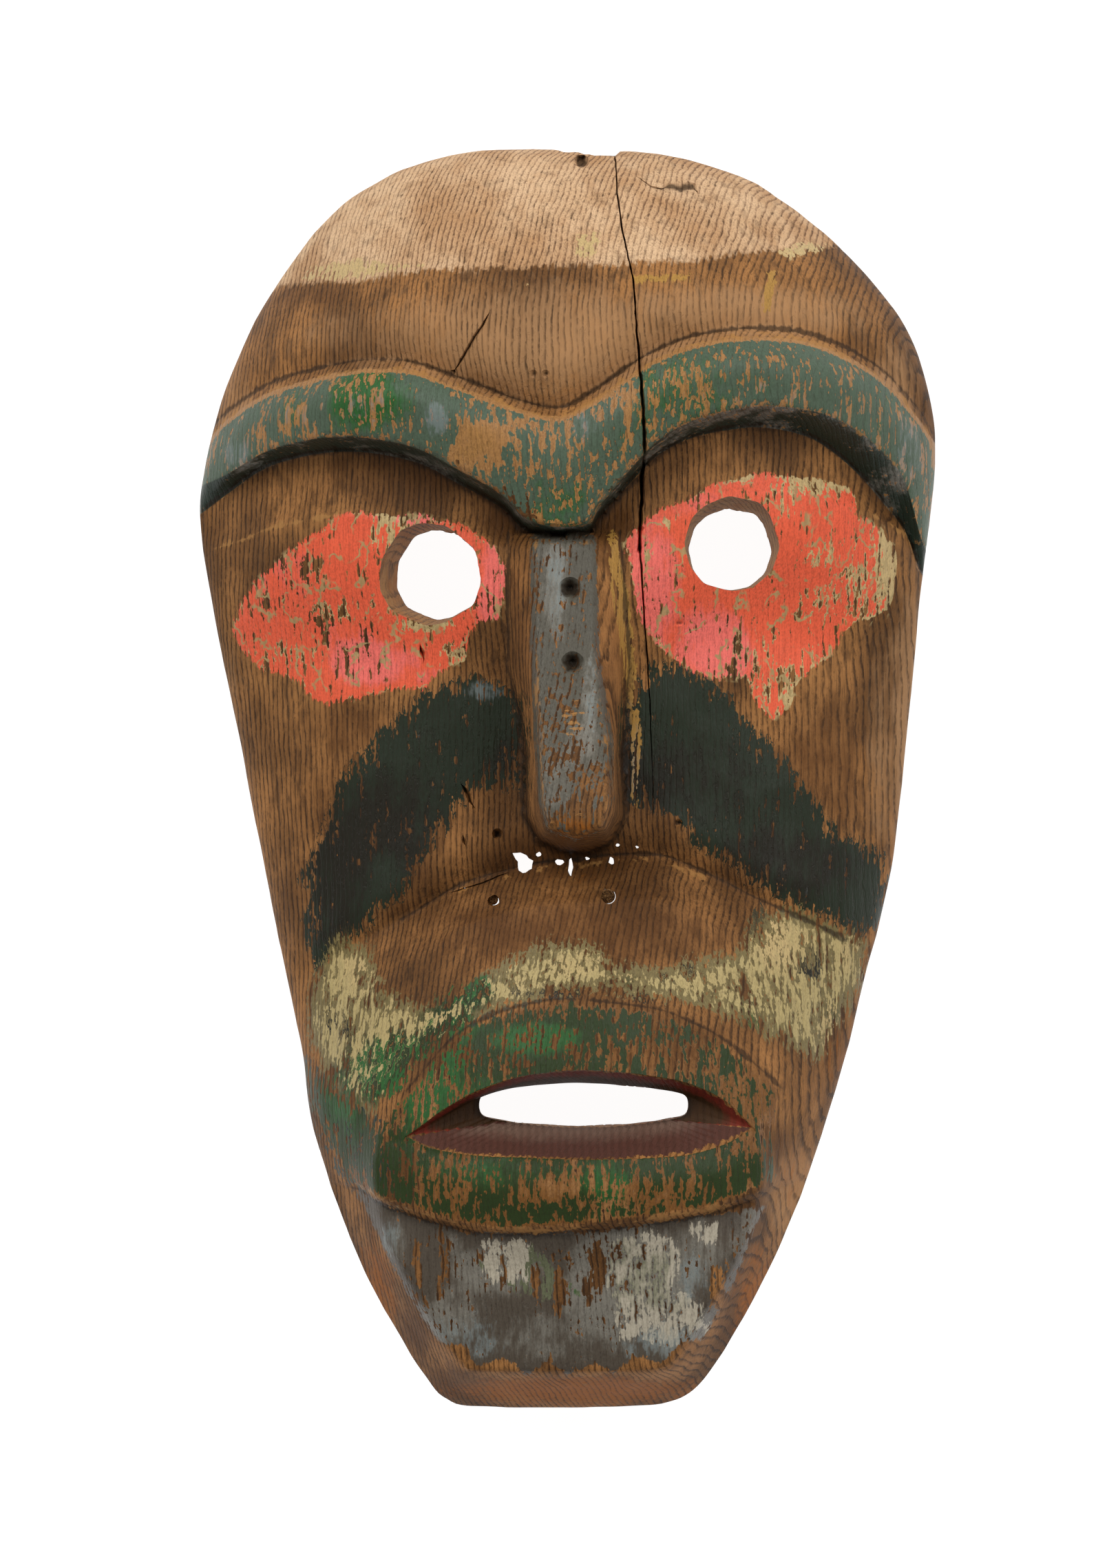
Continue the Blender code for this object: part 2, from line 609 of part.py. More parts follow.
def make_mask():
    """The mask: a front sheet and a back sheet joined by the side, the rim and the walls of the holes."""
    left_eye = circle(drawn(LEFT_EYE), LEFT_EYE_DIAMETER, EYE_POINTS)
    right_eye = circle(drawn(RIGHT_EYE), RIGHT_EYE_DIAMETER, EYE_POINTS)
    left_eye_back = circle(drawn(LEFT_EYE_BACK), LEFT_EYE_DIAMETER - 2 * EYE_HOLE_TAPER, EYE_POINTS)
    right_eye_back = circle(drawn(RIGHT_EYE_BACK), RIGHT_EYE_DIAMETER - 2 * EYE_HOLE_TAPER, EYE_POINTS)
    left_peg = circle(drawn(LEFT_PEG), LEFT_PEG_HOLE_DIAMETER, SMALL_HOLE_POINTS)
    right_peg = circle(drawn(RIGHT_PEG), RIGHT_PEG_HOLE_DIAMETER, SMALL_HOLE_POINTS)
    gap = drawn(BREAK)
    mouth = mouth_opening()
    slot = mouth_slot()
    front_holes = [left_eye, right_eye, left_peg, right_peg, gap, mouth]
    back_holes = [left_eye_back, right_eye_back, left_peg, right_peg, gap, slot]

    lines = carved_lines(front_holes) + crack_lines() + [chin_bevel()]
    lines += [closed(FOOT_OF_NOSE), closed(FACE_OF_NOSE)]
    for pit in drawn(NAIL_PITS):
        lines.append(closed(circle(pit, NAIL_PIT_DIAMETER, SMALL_HOLE_POINTS)))
        lines.append(closed(circle(pit, NAIL_DIAMETER, SMALL_HOLE_POINTS)))
    plan, triangles, loops = sheet(OUTER_EDGE, front_holes, lines, (0.6, 2.4, 5.4), FRONT_FACET)
    vertices = np.column_stack([plan, front_height(plan)])
    faces = [list(t) for t in triangles]

    plan, triangles, back_loops = sheet(INNER_EDGE, back_holes, [], (0.5, 2.0, 5.0), BACK_FACET)
    first = len(vertices)
    vertices = np.vstack([vertices, np.column_stack([plan, back_height(plan)])])
    faces += [[first + i for i in t[::-1]] for t in triangles]
    back_loops = [[first + i for i in loop] for loop in back_loops]

    above = loops[0]
    for width, height in ((0, SIDE_TUCK_HEIGHT), (SIDE_TUCK, 0)):
        first = len(vertices)
        ring = np.column_stack([inset(OUTER_EDGE, width), np.full(len(OUTER_EDGE), height)])
        vertices = np.vstack([vertices, ring])
        below = list(range(first, first + len(OUTER_EDGE)))
        faces += band(below, above)
        above = below
    faces += band(back_loops[0], above)

    first = len(vertices)
    depth = vertices[loops[-1], 2].max() - MOUTH_FUNNEL_DEPTH
    vertices = np.vstack([vertices, np.column_stack([slot, np.full(len(slot), depth)])])
    funnel = list(range(first, first + len(slot)))
    faces += band(loops[-1], funnel)
    faces += band(funnel, back_loops[-1])
    for front_loop, back_loop in zip(loops[1:-1], back_loops[1:-1]):
        faces += band(front_loop, back_loop)
    return add_object("mask", vertices * MM, faces, (0.22, 0.12, 0.055, 1), 0.6)


def make_peg(name, place, hole_diameter, sink):
    """The stub of a wooden peg that has broken off in its hole."""
    centre = drawn(place)
    top = front_height(centre[None])[0] - sink
    stub = bmesh.new()
    radius = hole_diameter / 2 - PEG_CLEARANCE
    bmesh.ops.create_cone(stub, cap_ends=True, segments=SMALL_HOLE_POINTS, radius1=radius * 0.9 * MM,
                          radius2=radius * MM, depth=PEG_LENGTH * MM)
    bmesh.ops.translate(stub, verts=stub.verts, vec=(0, 0, (top - PEG_LENGTH / 2) * MM))
    vertices = [tuple(v.co + Vector((centre[0] * MM, centre[1] * MM, 0))) for v in stub.verts]
    faces = [[v.index for v in face.verts] for face in stub.faces]
    stub.free()
    return add_object(name, vertices, faces, (0.3, 0.17, 0.08, 1), 0.7)


for thing in list(bpy.data.objects):
    bpy.data.objects.remove(thing)
make_mask()
make_peg("left_peg_stub", LEFT_PEG, LEFT_PEG_HOLE_DIAMETER, LEFT_PEG_SINK)
make_peg("right_peg_stub", RIGHT_PEG, RIGHT_PEG_HOLE_DIAMETER, RIGHT_PEG_SINK)
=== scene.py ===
"""Painted wooden face mask, an old softwood carving, as a set of modelling tools.

The mask lies on its rim, face up: +X is the viewer's right, +Y the top of the forehead, +Z out of the face.
Its carving is drawn in shares of its own size: percent of the half width across, percent of the half height
up, and percent of the depth for heights. Everything else is in millimetres.
"""
from collections import namedtuple
from functools import partial

import bpy
import numpy as np
from bpy.props import FloatProperty, FloatVectorProperty, PointerProperty
from bpy.types import Operator, Panel, PropertyGroup
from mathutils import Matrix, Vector, kdtree, noise
from mathutils.geometry import delaunay_2d_cdt


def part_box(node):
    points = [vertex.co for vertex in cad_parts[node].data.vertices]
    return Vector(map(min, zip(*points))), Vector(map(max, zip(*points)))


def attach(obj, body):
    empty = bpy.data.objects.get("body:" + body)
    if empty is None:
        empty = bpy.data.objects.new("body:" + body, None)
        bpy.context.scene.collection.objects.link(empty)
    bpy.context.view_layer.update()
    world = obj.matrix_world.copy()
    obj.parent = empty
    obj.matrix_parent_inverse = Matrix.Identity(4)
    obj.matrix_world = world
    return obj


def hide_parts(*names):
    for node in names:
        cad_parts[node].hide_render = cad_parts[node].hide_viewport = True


bl_info = {
    "name": "Painted Wooden Mask",
    "version": (1, 0, 0),
    "blender": (4, 5, 0),
    "location": "View3D > Sidebar > Mask",
    "description": "Carves, cracks and paints an old wooden face mask and lays it on a pale floor",
    "category": "Object",
}

MM = 0.001
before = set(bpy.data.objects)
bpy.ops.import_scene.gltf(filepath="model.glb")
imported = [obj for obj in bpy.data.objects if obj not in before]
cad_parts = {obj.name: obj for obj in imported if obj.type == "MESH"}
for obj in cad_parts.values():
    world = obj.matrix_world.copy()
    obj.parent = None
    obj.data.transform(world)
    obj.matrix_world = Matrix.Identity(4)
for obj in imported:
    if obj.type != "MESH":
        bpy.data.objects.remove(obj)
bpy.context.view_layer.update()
LOW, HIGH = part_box("mask")
WIDTH, HEIGHT, DEPTH = (HIGH - LOW) / MM

# One percent of the half width, the half height and the depth, in millimetres
ACROSS = WIDTH / 200
UP = HEIGHT / 200
OUT = DEPTH / 100

# The block's walls, holes and edges
WALL = 10.0
RIM_WIDTH = 10.0
SIDE_TUCK = 1.6
SIDE_TUCK_HEIGHT = 9.0
LEFT_EYE_DIAMETER = 23.5
RIGHT_EYE_DIAMETER = 22.0
EYE_HOLE_TAPER = 1.4
MOUTH_SLOT_WIDTH = 48.0
MOUTH_SLOT_HEIGHT = 10.0
MOUTH_FUNNEL_DEPTH = 13.0
LEFT_PEG_HOLE_DIAMETER = 3.0
RIGHT_PEG_HOLE_DIAMETER = 3.6
NAIL_PIT_DIAMETER = 5.4
NAIL_PIT_DEPTH = 4.5
NAIL_DIAMETER = 2.4
NAIL_BEVEL_DEPTH = 2.0
RIB_SPACING = 1.75
RIB_DEPTH = 0.16

# The mask's outline, seen from the front
OUTLINE = (
    (-4.7, 100.1), (19.8, 99.7), (30.1, 98.6), (49.1, 95.1), (66.0, 88.6), (79.9, 80.9), (88.9, 74.3),
    (94.9, 67.7), (98.4, 60.3), (99.9, 52.7), (98.2, 39.7), (94.8, 21.7), (91.4, 2.0), (86.8, -17.7),
    (78.4, -37.5), (68.8, -57.2), (55.6, -76.9), (43.3, -90.1), (35.7, -96.6), (28.0, -99.3),
    (16.3, -100.1), (-23.3, -100.1), (-33.0, -98.8), (-38.5, -95.2), (-44.1, -90.1), (-56.3, -76.9),
    (-68.3, -57.2), (-71.8, -44.0), (-76.7, -30.9), (-83.6, -11.2), (-90.1, 8.6), (-97.0, 28.3),
    (-100.1, 41.4), (-98.7, 49.3), (-93.5, 61.2), (-83.7, 74.3), (-65.7, 88.8), (-50.7, 95.1),
    (-36.7, 98.4), (-21.0, 99.9),
)

# The plain face under the carving, by height up the mask: its crown on the centre line, how far it falls
# away at half the width, the height of its edge above the rim, and how wide the edge rolls over
CROWN = (
    (-100, 60), (-92, 65), (-72, 69), (-51, 67.5), (-31, 62.7), (-14, 60.2), (0, 59), (14, 58), (31, 58),
    (48, 65), (65, 70), (82, 67.5), (100, 60),
)
FALL = ((-100, 9), (-72, 12), (-60, 20), (-35, 29), (0, 30), (40, 32), (100, 33))
EDGE = ((-100, 42), (-72, 42), (-58, 35), (-34, 26), (0, 21), (41, 21), (81, 23), (100, 26))
ROLL = ((-100, 11), (-67, 11), (-55, 19), (-41, 28), (-20, 31), (20, 33), (55, 40), (81, 51), (100, 54))
FLAT_BEVEL_FROM = -66
ROUND_ROLL_FROM = -50

# Lines of the carving, from left to right
BROW_TOP = (
    (-100.3, 51.7), (-92.1, 56.6), (-79.1, 61.0), (-60.4, 63.6), (-51.1, 64.0), (-41.7, 63.6),
    (-26.8, 60.6), (-13.8, 57.7), (-2.3, 56.4), (6.8, 58.9), (19.8, 64.1), (32.9, 67.5), (49.7, 69.0),
    (66.5, 68.1), (83.3, 63.6), (94.5, 57.1), (100.3, 52.1),
)
BROW_BOTTOM = (
    (-100.3, 46.2), (-92.1, 48.0), (-79.1, 51.8), (-60.4, 53.5), (-41.7, 51.8), (-28.7, 48.0),
    (-17.5, 44.2), (-11.9, 40.9), (-6.3, 39.5), (0.2, 39.2), (5.8, 39.8), (8.6, 42.5), (14.2, 46.4),
    (23.6, 52.4), (32.9, 55.7), (42.2, 57.3), (51.5, 58.2), (60.9, 57.9), (70.2, 56.8), (79.5, 54.0),
    (88.9, 49.1), (92.6, 44.7), (96.3, 37.6), (100.3, 34.2),
)
BROW_UNDERCUT = (
    (-100.3, 4.1), (-87.5, 2.1), (-58.3, 1.7), (-17.5, 1.5), (0.0, 1.0), (11.7, 1.4), (23.3, 1.7),
    (35.0, 2.1), (52.5, 2.7), (64.1, 3.4), (72.3, 4.8), (81.6, 6.5), (88.6, 7.5), (93.3, 6.2), (100.3, 2.7),
)
EYELID = (
    (-100.3, 35.6), (-88.4, 37.6), (-79.1, 39.6), (-60.4, 41.4), (-49.2, 40.7), (-38.0, 39.8),
    (-30.6, 39.0), (-23.1, 37.3), (-16.6, 36.0), (0.0, 35.6), (12.4, 36.5), (18.0, 38.7), (27.6, 40.1),
    (44.4, 44.2), (61.0, 44.7), (70.0, 43.2), (81.9, 41.6), (87.9, 39.9), (94.9, 37.4), (100.3, 34.9),
)
CREASE = (
    (-100.3, -42.5), (-79.3, -34.2), (-60.4, -27.6), (-41.7, -21.5), (-31.1, -17.7), (-23.9, -16.0),
    (-8.2, -13.6), (1.2, -13.2), (10.5, -12.4), (21.2, -12.2), (28.3, -12.9), (41.4, -16.3),
    (51.0, -19.2), (70.2, -24.3), (85.1, -29.5), (100.3, -34.9),
)
LIP_ROLL = (
    (-100.3, -65.8), (-58.3, -57.5), (-43.6, -49.5), (-32.4, -41.8), (-23.1, -38.0), (-13.8, -36.0),
    (-4.4, -34.9), (4.9, -34.9), (23.6, -36.4), (32.9, -38.4), (42.2, -41.3), (51.5, -45.7),
    (59.0, -50.1), (67.6, -56.2), (100.3, -64.4),
)
MOUTH_TOP = (
    (-43.3, -56.4), (-38.0, -54.1), (-32.4, -51.7), (-23.1, -48.8), (-13.8, -47.0), (-4.4, -46.2),
    (4.9, -45.9), (14.2, -46.2), (23.6, -46.9), (32.9, -48.1), (42.2, -50.8), (50.0, -55.2),
)
MOUTH_BOTTOM = (
    (-43.3, -56.4), (-38.0, -58.1), (-32.4, -58.8), (-23.1, -59.4), (4.9, -59.9), (23.6, -59.6),
    (32.9, -59.2), (42.2, -57.7), (50.0, -55.2),
)
LIP_BOTTOM = (
    (-100.3, -67.8), (-70.0, -64.4), (-57.6, -64.0), (-51.1, -65.8), (-41.7, -67.9), (-25.0, -70.5),
    (-13.8, -70.8), (4.9, -70.3), (23.6, -69.0), (42.2, -67.0), (57.1, -64.0), (70.0, -63.0),
    (100.3, -66.4),
)

# The nose, a long slab: its foot on the face, its flat front, and the height of its back up the mask
NOSE_FOOT = (
    (-15.9, 38.5), (-15.9, 17.1), (-12.5, 9.3), (-11.2, 3.4), (-10.8, -6.4), (-7.6, -10.1), (-2.3, -11.6),
    (4.7, -12.1), (11.1, -10.7), (15.2, -6.4), (14.6, 3.4), (16.8, 17.1), (14.2, 38.5),
)
NOSE_FACE = (
    (-8.4, 37.3), (-8.4, 19.2), (-7.5, 7.3), (-6.5, -3.4), (-4.7, -8.0), (2.3, -9.4), (9.3, -8.1),
    (11.2, -3.4), (10.8, 5.3), (7.1, 19.2), (6.2, 37.3),
)
NOSE_RIDGE = ((-12, 90), (-9, 98), (-6, 100), (-2, 98), (7, 90.5), (17, 82), (27.5, 75), (38, 69))

# Heights of the carving over the plain face
FOREHEAD = 9.6
GROOVE = 5.2
BROW_EDGE = 10.0
BROW_CREST = 14.6
BROW_LIP = 13.8
SOCKET = -2.4
EYELID_EDGE = 3.8
EYEBALL = 6.4
CREASE_DEPTH = -6.0
MOUND = 19.3
LIP_STEP = 5.0
CHIN = 8.4

# Shares of the crease's depth and of the mound's height that the carving reaches on its way
CREASE_BRINK = 0.2
CREASE_AT_SIDES = 0.4
LIP_RISE_PLACE = 0.3
LIP_RISE = 0.55
UPPER_LIP_EDGE = 0.93
LOWER_LIP_EDGE = 0.97
LOWER_LIP_CREST = 1.02
LOWER_LIP_FOOT = 0.88
CHIN_FOOT_SHARE = 0.8

# Reach of the carving up and down the mask, and the half width of the mound that carries the lips
GROOVE_ROLL = 10.0
GROOVE_GAP = 1.6
EYEBALL_DROP = 8.0
EYE_SOCKET_END = 24.0
CREASE_REACH = 6.5
STEP_REACH = 0.9
CHIN_TOP = -78.0
CHIN_FOOT = -93.0
MOUND_SPREAD = 70.0

# Places of the holes and of the two pits that nails left in the nose
LEFT_EYE = (-37.0, 31.8)
RIGHT_EYE = (44.5, 36.7)
LEFT_EYE_BACK = (-34.3, 31.9)
RIGHT_EYE_BACK = (44.1, 36.0)
MOUTH_SLOT = (4.4, -51.6)
LEFT_PEG = (-19.8, -19.5)
RIGHT_PEG = (11.0, -18.8)
NAIL_PITS = ((0.7, 29.5), (1.4, 17.8))

# The hollow behind: how wide its own edge rolls, what follows the front, and the pocket behind the nose
HOLLOW_ROLL = 18.0
HOLLOW_FOREHEAD = 6.0
HOLLOW_FOREHEAD_REACH = 30.0
HOLLOW_MOUTH = 6.5
HOLLOW_MOUTH_PLACE = -52.0
HOLLOW_MOUTH_REACH = 26.0
HOLLOW_MOUTH_SPREAD = 60.0
NOSE_POCKET = 4.2
NOSE_POCKET_PLACE = (2.0, -12.0)
NOSE_POCKET_SIZE = (26.0, 9.0)

# What has broken through along the crease under the nose: the largest gap, then each smaller one with its
# place, its width and its height in millimetres
LARGEST_BREAK = (
    (-14.7, -12.1), (-13.9, -13.0), (-13.3, -13.4), (-13.3, -14.3), (-13.1, -14.8), (-12.0, -15.2),
    (-11.2, -15.1), (-10.3, -14.7), (-9.6, -14.5), (-9.5, -13.8), (-9.2, -13.3), (-10.4, -12.9),
    (-11.0, -12.4), (-12.6, -12.0),
)
SMALL_BREAKS = (
    (-7.7, -12.3, 1.3, 1.2), (-2.1, -13.5, 2.2, 1.5), (0.9, -14.3, 1.4, 4.6), (5.4, -12.9, 1.3, 1.0),
    (11.9, -13.3, 1.6, 2.2), (13.6, -10.8, 1.3, 1.0), (18.8, -11.1, 1.1, 0.9), (28.4, -13.6, 0.6, 0.6),
    (-27.6, -17.6, 0.8, 0.6),
)

# Cracks and gashes: the line, the width and the depth
CRACKS = (
    (((12.7, 99.2), (13.3, 91.8), (14.7, 85.8), (17.5, 77.6), (18.9, 68.8), (19.8, 62.3), (20.8, 53.4),
      (19.8, 44.7), (19.4, 36.0)), 0.8, 4.0),
    (((19.4, 36.0), (20.8, 25.0), (21.7, 15.7), (22.6, 3.1), (23.0, -5.7)), 0.6, 2.0),
    (((-30.0, 63.9), (-26.4, 67.6), (-20.9, 72.7)), 0.9, 1.3),
    (((18.8, 94.9), (22.6, 93.2), (25.4, 92.9)), 0.6, 0.8),
    (((25.4, 92.9), (28.2, 93.3), (30.0, 93.0), (32.8, 93.5), (35.1, 92.6)), 2.2, 1.6),
    (((-28.4, -1.3), (-27.1, -2.5), (-25.4, -4.5)), 1.1, 1.7),
    (((-31.5, -18.3), (-23.1, -16.9), (-16.0, -15.2)), 0.5, 0.9),
    (((-39.6, 20.6), (-38.6, 18.6)), 1.5, 1.6),
    (((-24.6, 28.6), (-24.0, 27.2)), 1.6, 1.3),
    (((-28.0, -9.4), (-27.4, -10.8)), 1.0, 1.2),
)

# Small pits: place, radius and depth
PITS = (
    (-18.8, -9.0, 1.3, 2.6), (-30.2, -19.2, 0.6, 1.0), (29.9, -7.3, 1.0, 1.7), (26.3, -20.1, 0.8, 1.5),
    (30.0, 24.4, 1.1, 1.0), (-9.1, 63.1, 1.0, 1.3), (-5.8, 63.1, 1.0, 1.3), (3.9, 97.6, 1.9, 4.2),
    (58.6, 10.0, 1.2, 0.7), (-63.0, 71.0, 0.8, 0.7), (8.0, 74.6, 0.7, 0.6), (-11.0, 52.0, 0.7, 0.6),
)

# The piece missing from the top edge: where it starts and ends across, and how far the edge stands back
NOTCH_FROM = -1.7
NOTCH_TO = 14.2
NOTCH_DEPTH = 1.5

# Outlines of the painted areas
RED_LEFT = (
    (-91.8, 23.1), (-89.4, 28.1), (-82.8, 33.0), (-76.9, 35.7), (-71.1, 38.1), (-65.7, 39.9), (-62.1, 42.0),
    (-53.2, 42.4), (-41.2, 42.0), (-34.7, 41.3), (-28.2, 40.4), (-23.3, 38.6), (-18.7, 36.4), (-15.7, 33.0),
    (-16.2, 24.5), (-20.5, 24.2), (-25.2, 22.5), (-26.3, 17.9), (-35.3, 15.5), (-38.3, 13.7), (-44.2, 13.4),
    (-53.2, 12.3), (-59.1, 11.3), (-65.1, 10.5), (-69.8, 11.9), (-72.8, 14.5), (-79.9, 16.1), (-83.6, 16.9),
    (-88.3, 19.3),
)
RED_RIGHT = (
    (18.1, 39.9), (14.0, 36.7), (15.1, 33.9), (17.0, 29.0), (18.8, 24.4), (21.8, 21.7), (27.1, 18.8),
    (32.5, 16.4), (39.0, 15.0), (47.4, 14.7), (48.5, 12.3), (52.1, 10.2), (55.6, 8.4), (61.0, 10.5),
    (62.9, 13.3), (67.5, 16.4), (71.1, 18.5), (75.4, 21.4), (80.6, 23.5), (86.6, 24.9), (89.6, 27.6),
    (90.7, 33.2), (89.0, 37.4), (86.0, 39.9), (81.9, 41.2), (78.6, 41.6), (78.6, 44.4), (75.9, 46.5),
    (70.0, 47.6), (64.0, 48.2), (53.4, 49.0), (42.5, 47.2), (37.1, 45.8), (31.3, 44.4), (24.8, 42.3),
)
CHEEK_LEFT = (
    (-12.2, 12.0), (-25.0, 15.7), (-32.5, 14.0), (-41.8, 10.7), (-49.3, 6.4), (-54.9, 3.1), (-60.5, -1.3),
    (-66.1, -10.1), (-69.8, -14.5), (-70.7, -22.1), (-68.9, -29.8), (-66.1, -31.1), (-59.5, -25.4),
    (-49.3, -20.2), (-41.8, -17.2), (-39.6, -12.3), (-34.3, -7.9), (-32.1, -3.7), (-25.9, -1.6),
    (-11.6, -1.5),
)
CHEEK_RIGHT = (
    (14.6, 11.0), (23.5, 16.8), (31.3, 17.4), (38.4, 14.6), (44.0, 11.2), (51.5, 5.8), (59.0, 1.2),
    (66.4, -4.1), (71.7, -8.8), (82.3, -11.7), (87.0, -14.7), (85.5, -23.8), (78.2, -24.5), (70.2, -22.1),
    (59.0, -19.1), (44.0, -14.2), (34.7, -9.5), (30.0, -6.4), (21.6, -5.3), (14.2, -3.6),
)
MOUSTACHE = (
    (-69.8, -30.7), (-62.3, -23.5), (-53.7, -27.0), (-47.4, -32.5), (-38.8, -34.4), (-26.1, -31.3),
    (-15.5, -27.6), (-4.5, -24.5), (4.9, -25.2), (14.2, -28.1), (25.4, -28.9), (44.0, -27.0), (48.3, -23.8),
    (53.4, -20.8), (60.8, -19.7), (71.7, -22.6), (82.3, -25.6), (82.3, -32.5), (75.9, -40.0), (67.5, -46.9),
    (59.0, -43.8), (48.3, -40.0), (33.4, -36.9), (16.4, -35.1), (-0.6, -35.1), (-15.5, -36.9),
    (-26.1, -40.0), (-34.7, -43.8), (-43.1, -48.8), (-51.7, -53.8), (-62.3, -51.3), (-69.8, -43.8),
    (-71.8, -38.8),
)
CHIN_PATCH = (
    (-56.9, -65.1), (-51.7, -71.2), (-43.1, -81.3), (-37.0, -87.0), (-33.0, -89.6), (-28.0, -89.2),
    (-24.0, -92.4), (-17.0, -91.4), (-11.0, -94.0), (-5.0, -91.8), (0.0, -94.2), (7.0, -92.2), (13.0, -93.8),
    (18.0, -90.8), (25.0, -92.2), (30.0, -89.0), (36.0, -88.6), (41.0, -84.2), (45.2, -78.8), (50.4, -71.2),
    (53.6, -67.5), (40.3, -68.5), (14.2, -70.5), (-8.2, -71.6), (-25.0, -71.5), (-41.8, -68.8),
)
CHIN_CREAM = (
    (7.5, -71.5), (27.0, -71.0), (31.0, -74.0), (30.0, -80.0), (37.0, -82.6), (38.5, -87.0), (28.0, -89.3),
    (14.0, -88.4), (10.5, -82.0), (7.8, -80.0),
)
CHIN_GREY = ((-24.0, -72.5), (-10.5, -72.5), (-9.5, -79.8), (-22.5, -80.2))
CHIN_DAB = ((33.4, -70.1), (40.9, -69.7), (39.9, -73.4), (34.3, -73.6))
CHIN_GREEN = (
    (-26.1, -73.1), (-9.1, -72.5), (1.1, -76.1), (8.2, -82.4), (-4.9, -83.7), (-17.5, -81.3),
    (-26.1, -77.6),
)
SIDE_GREEN = (
    (-72.9, -44.3), (-49.3, -55.0), (-41.8, -60.5), (-43.7, -67.6), (-56.7, -65.4), (-60.5, -62.7),
    (-70.1, -53.9),
)
WHITE_LEFT = (
    (-74.4, 78.5), (-71.7, 80.7), (-60.5, 82.0), (-43.7, 81.5), (-34.3, 80.2), (-49.3, 78.7), (-64.2, 77.6),
)
WHITE_MIDDLE = ((0.0, 80.5), (8.0, 81.0), (9.5, 86.0), (2.0, 85.0))
YELLOW_FLECKS = (
    ((-12.0, 76.5), (-9.0, 76.5), (-9.0, 78.4), (-12.0, 78.0)),
    ((17.0, 77.2), (33.0, 77.6), (33.0, 79.2), (17.0, 78.8)),
    ((52.0, 73.0), (55.0, 73.0), (57.0, 80.0), (53.0, 80.0)),
)
WHITE_RIGHT = ((55.2, 82.8), (62.7, 85.3), (73.0, 85.0), (69.2, 82.8), (60.8, 81.5))
YELLOW_STREAK = (
    (9.7, 40.3), (13.4, 39.2), (17.0, 29.4), (19.0, 18.4), (20.5, 5.3), (19.4, -5.7), (16.8, -4.6),
    (16.0, 7.5), (14.2, 18.4), (11.2, 29.4),
)

DRAWN_AREAS = {
    "eye": (RED_LEFT, RED_RIGHT),
    "cheek": (CHEEK_LEFT, CHEEK_RIGHT),
    "band": (MOUSTACHE,),
    "lip": (SIDE_GREEN,),
    "chin": (CHIN_PATCH,),
    "chalk": (CHIN_CREAM, CHIN_DAB, CHIN_GREY),
    "remains": (WHITE_LEFT, WHITE_MIDDLE, WHITE_RIGHT),
    "sage": (CHIN_GREEN,),
    "streak": (YELLOW_STREAK,) + YELLOW_FLECKS,
    "side": (SIDE_GREEN,),
}

# Where the lips part
MOUTH_MIDDLE = ((-43.3, -56.4), (4.0, -52.5), (50.0, -55.2))

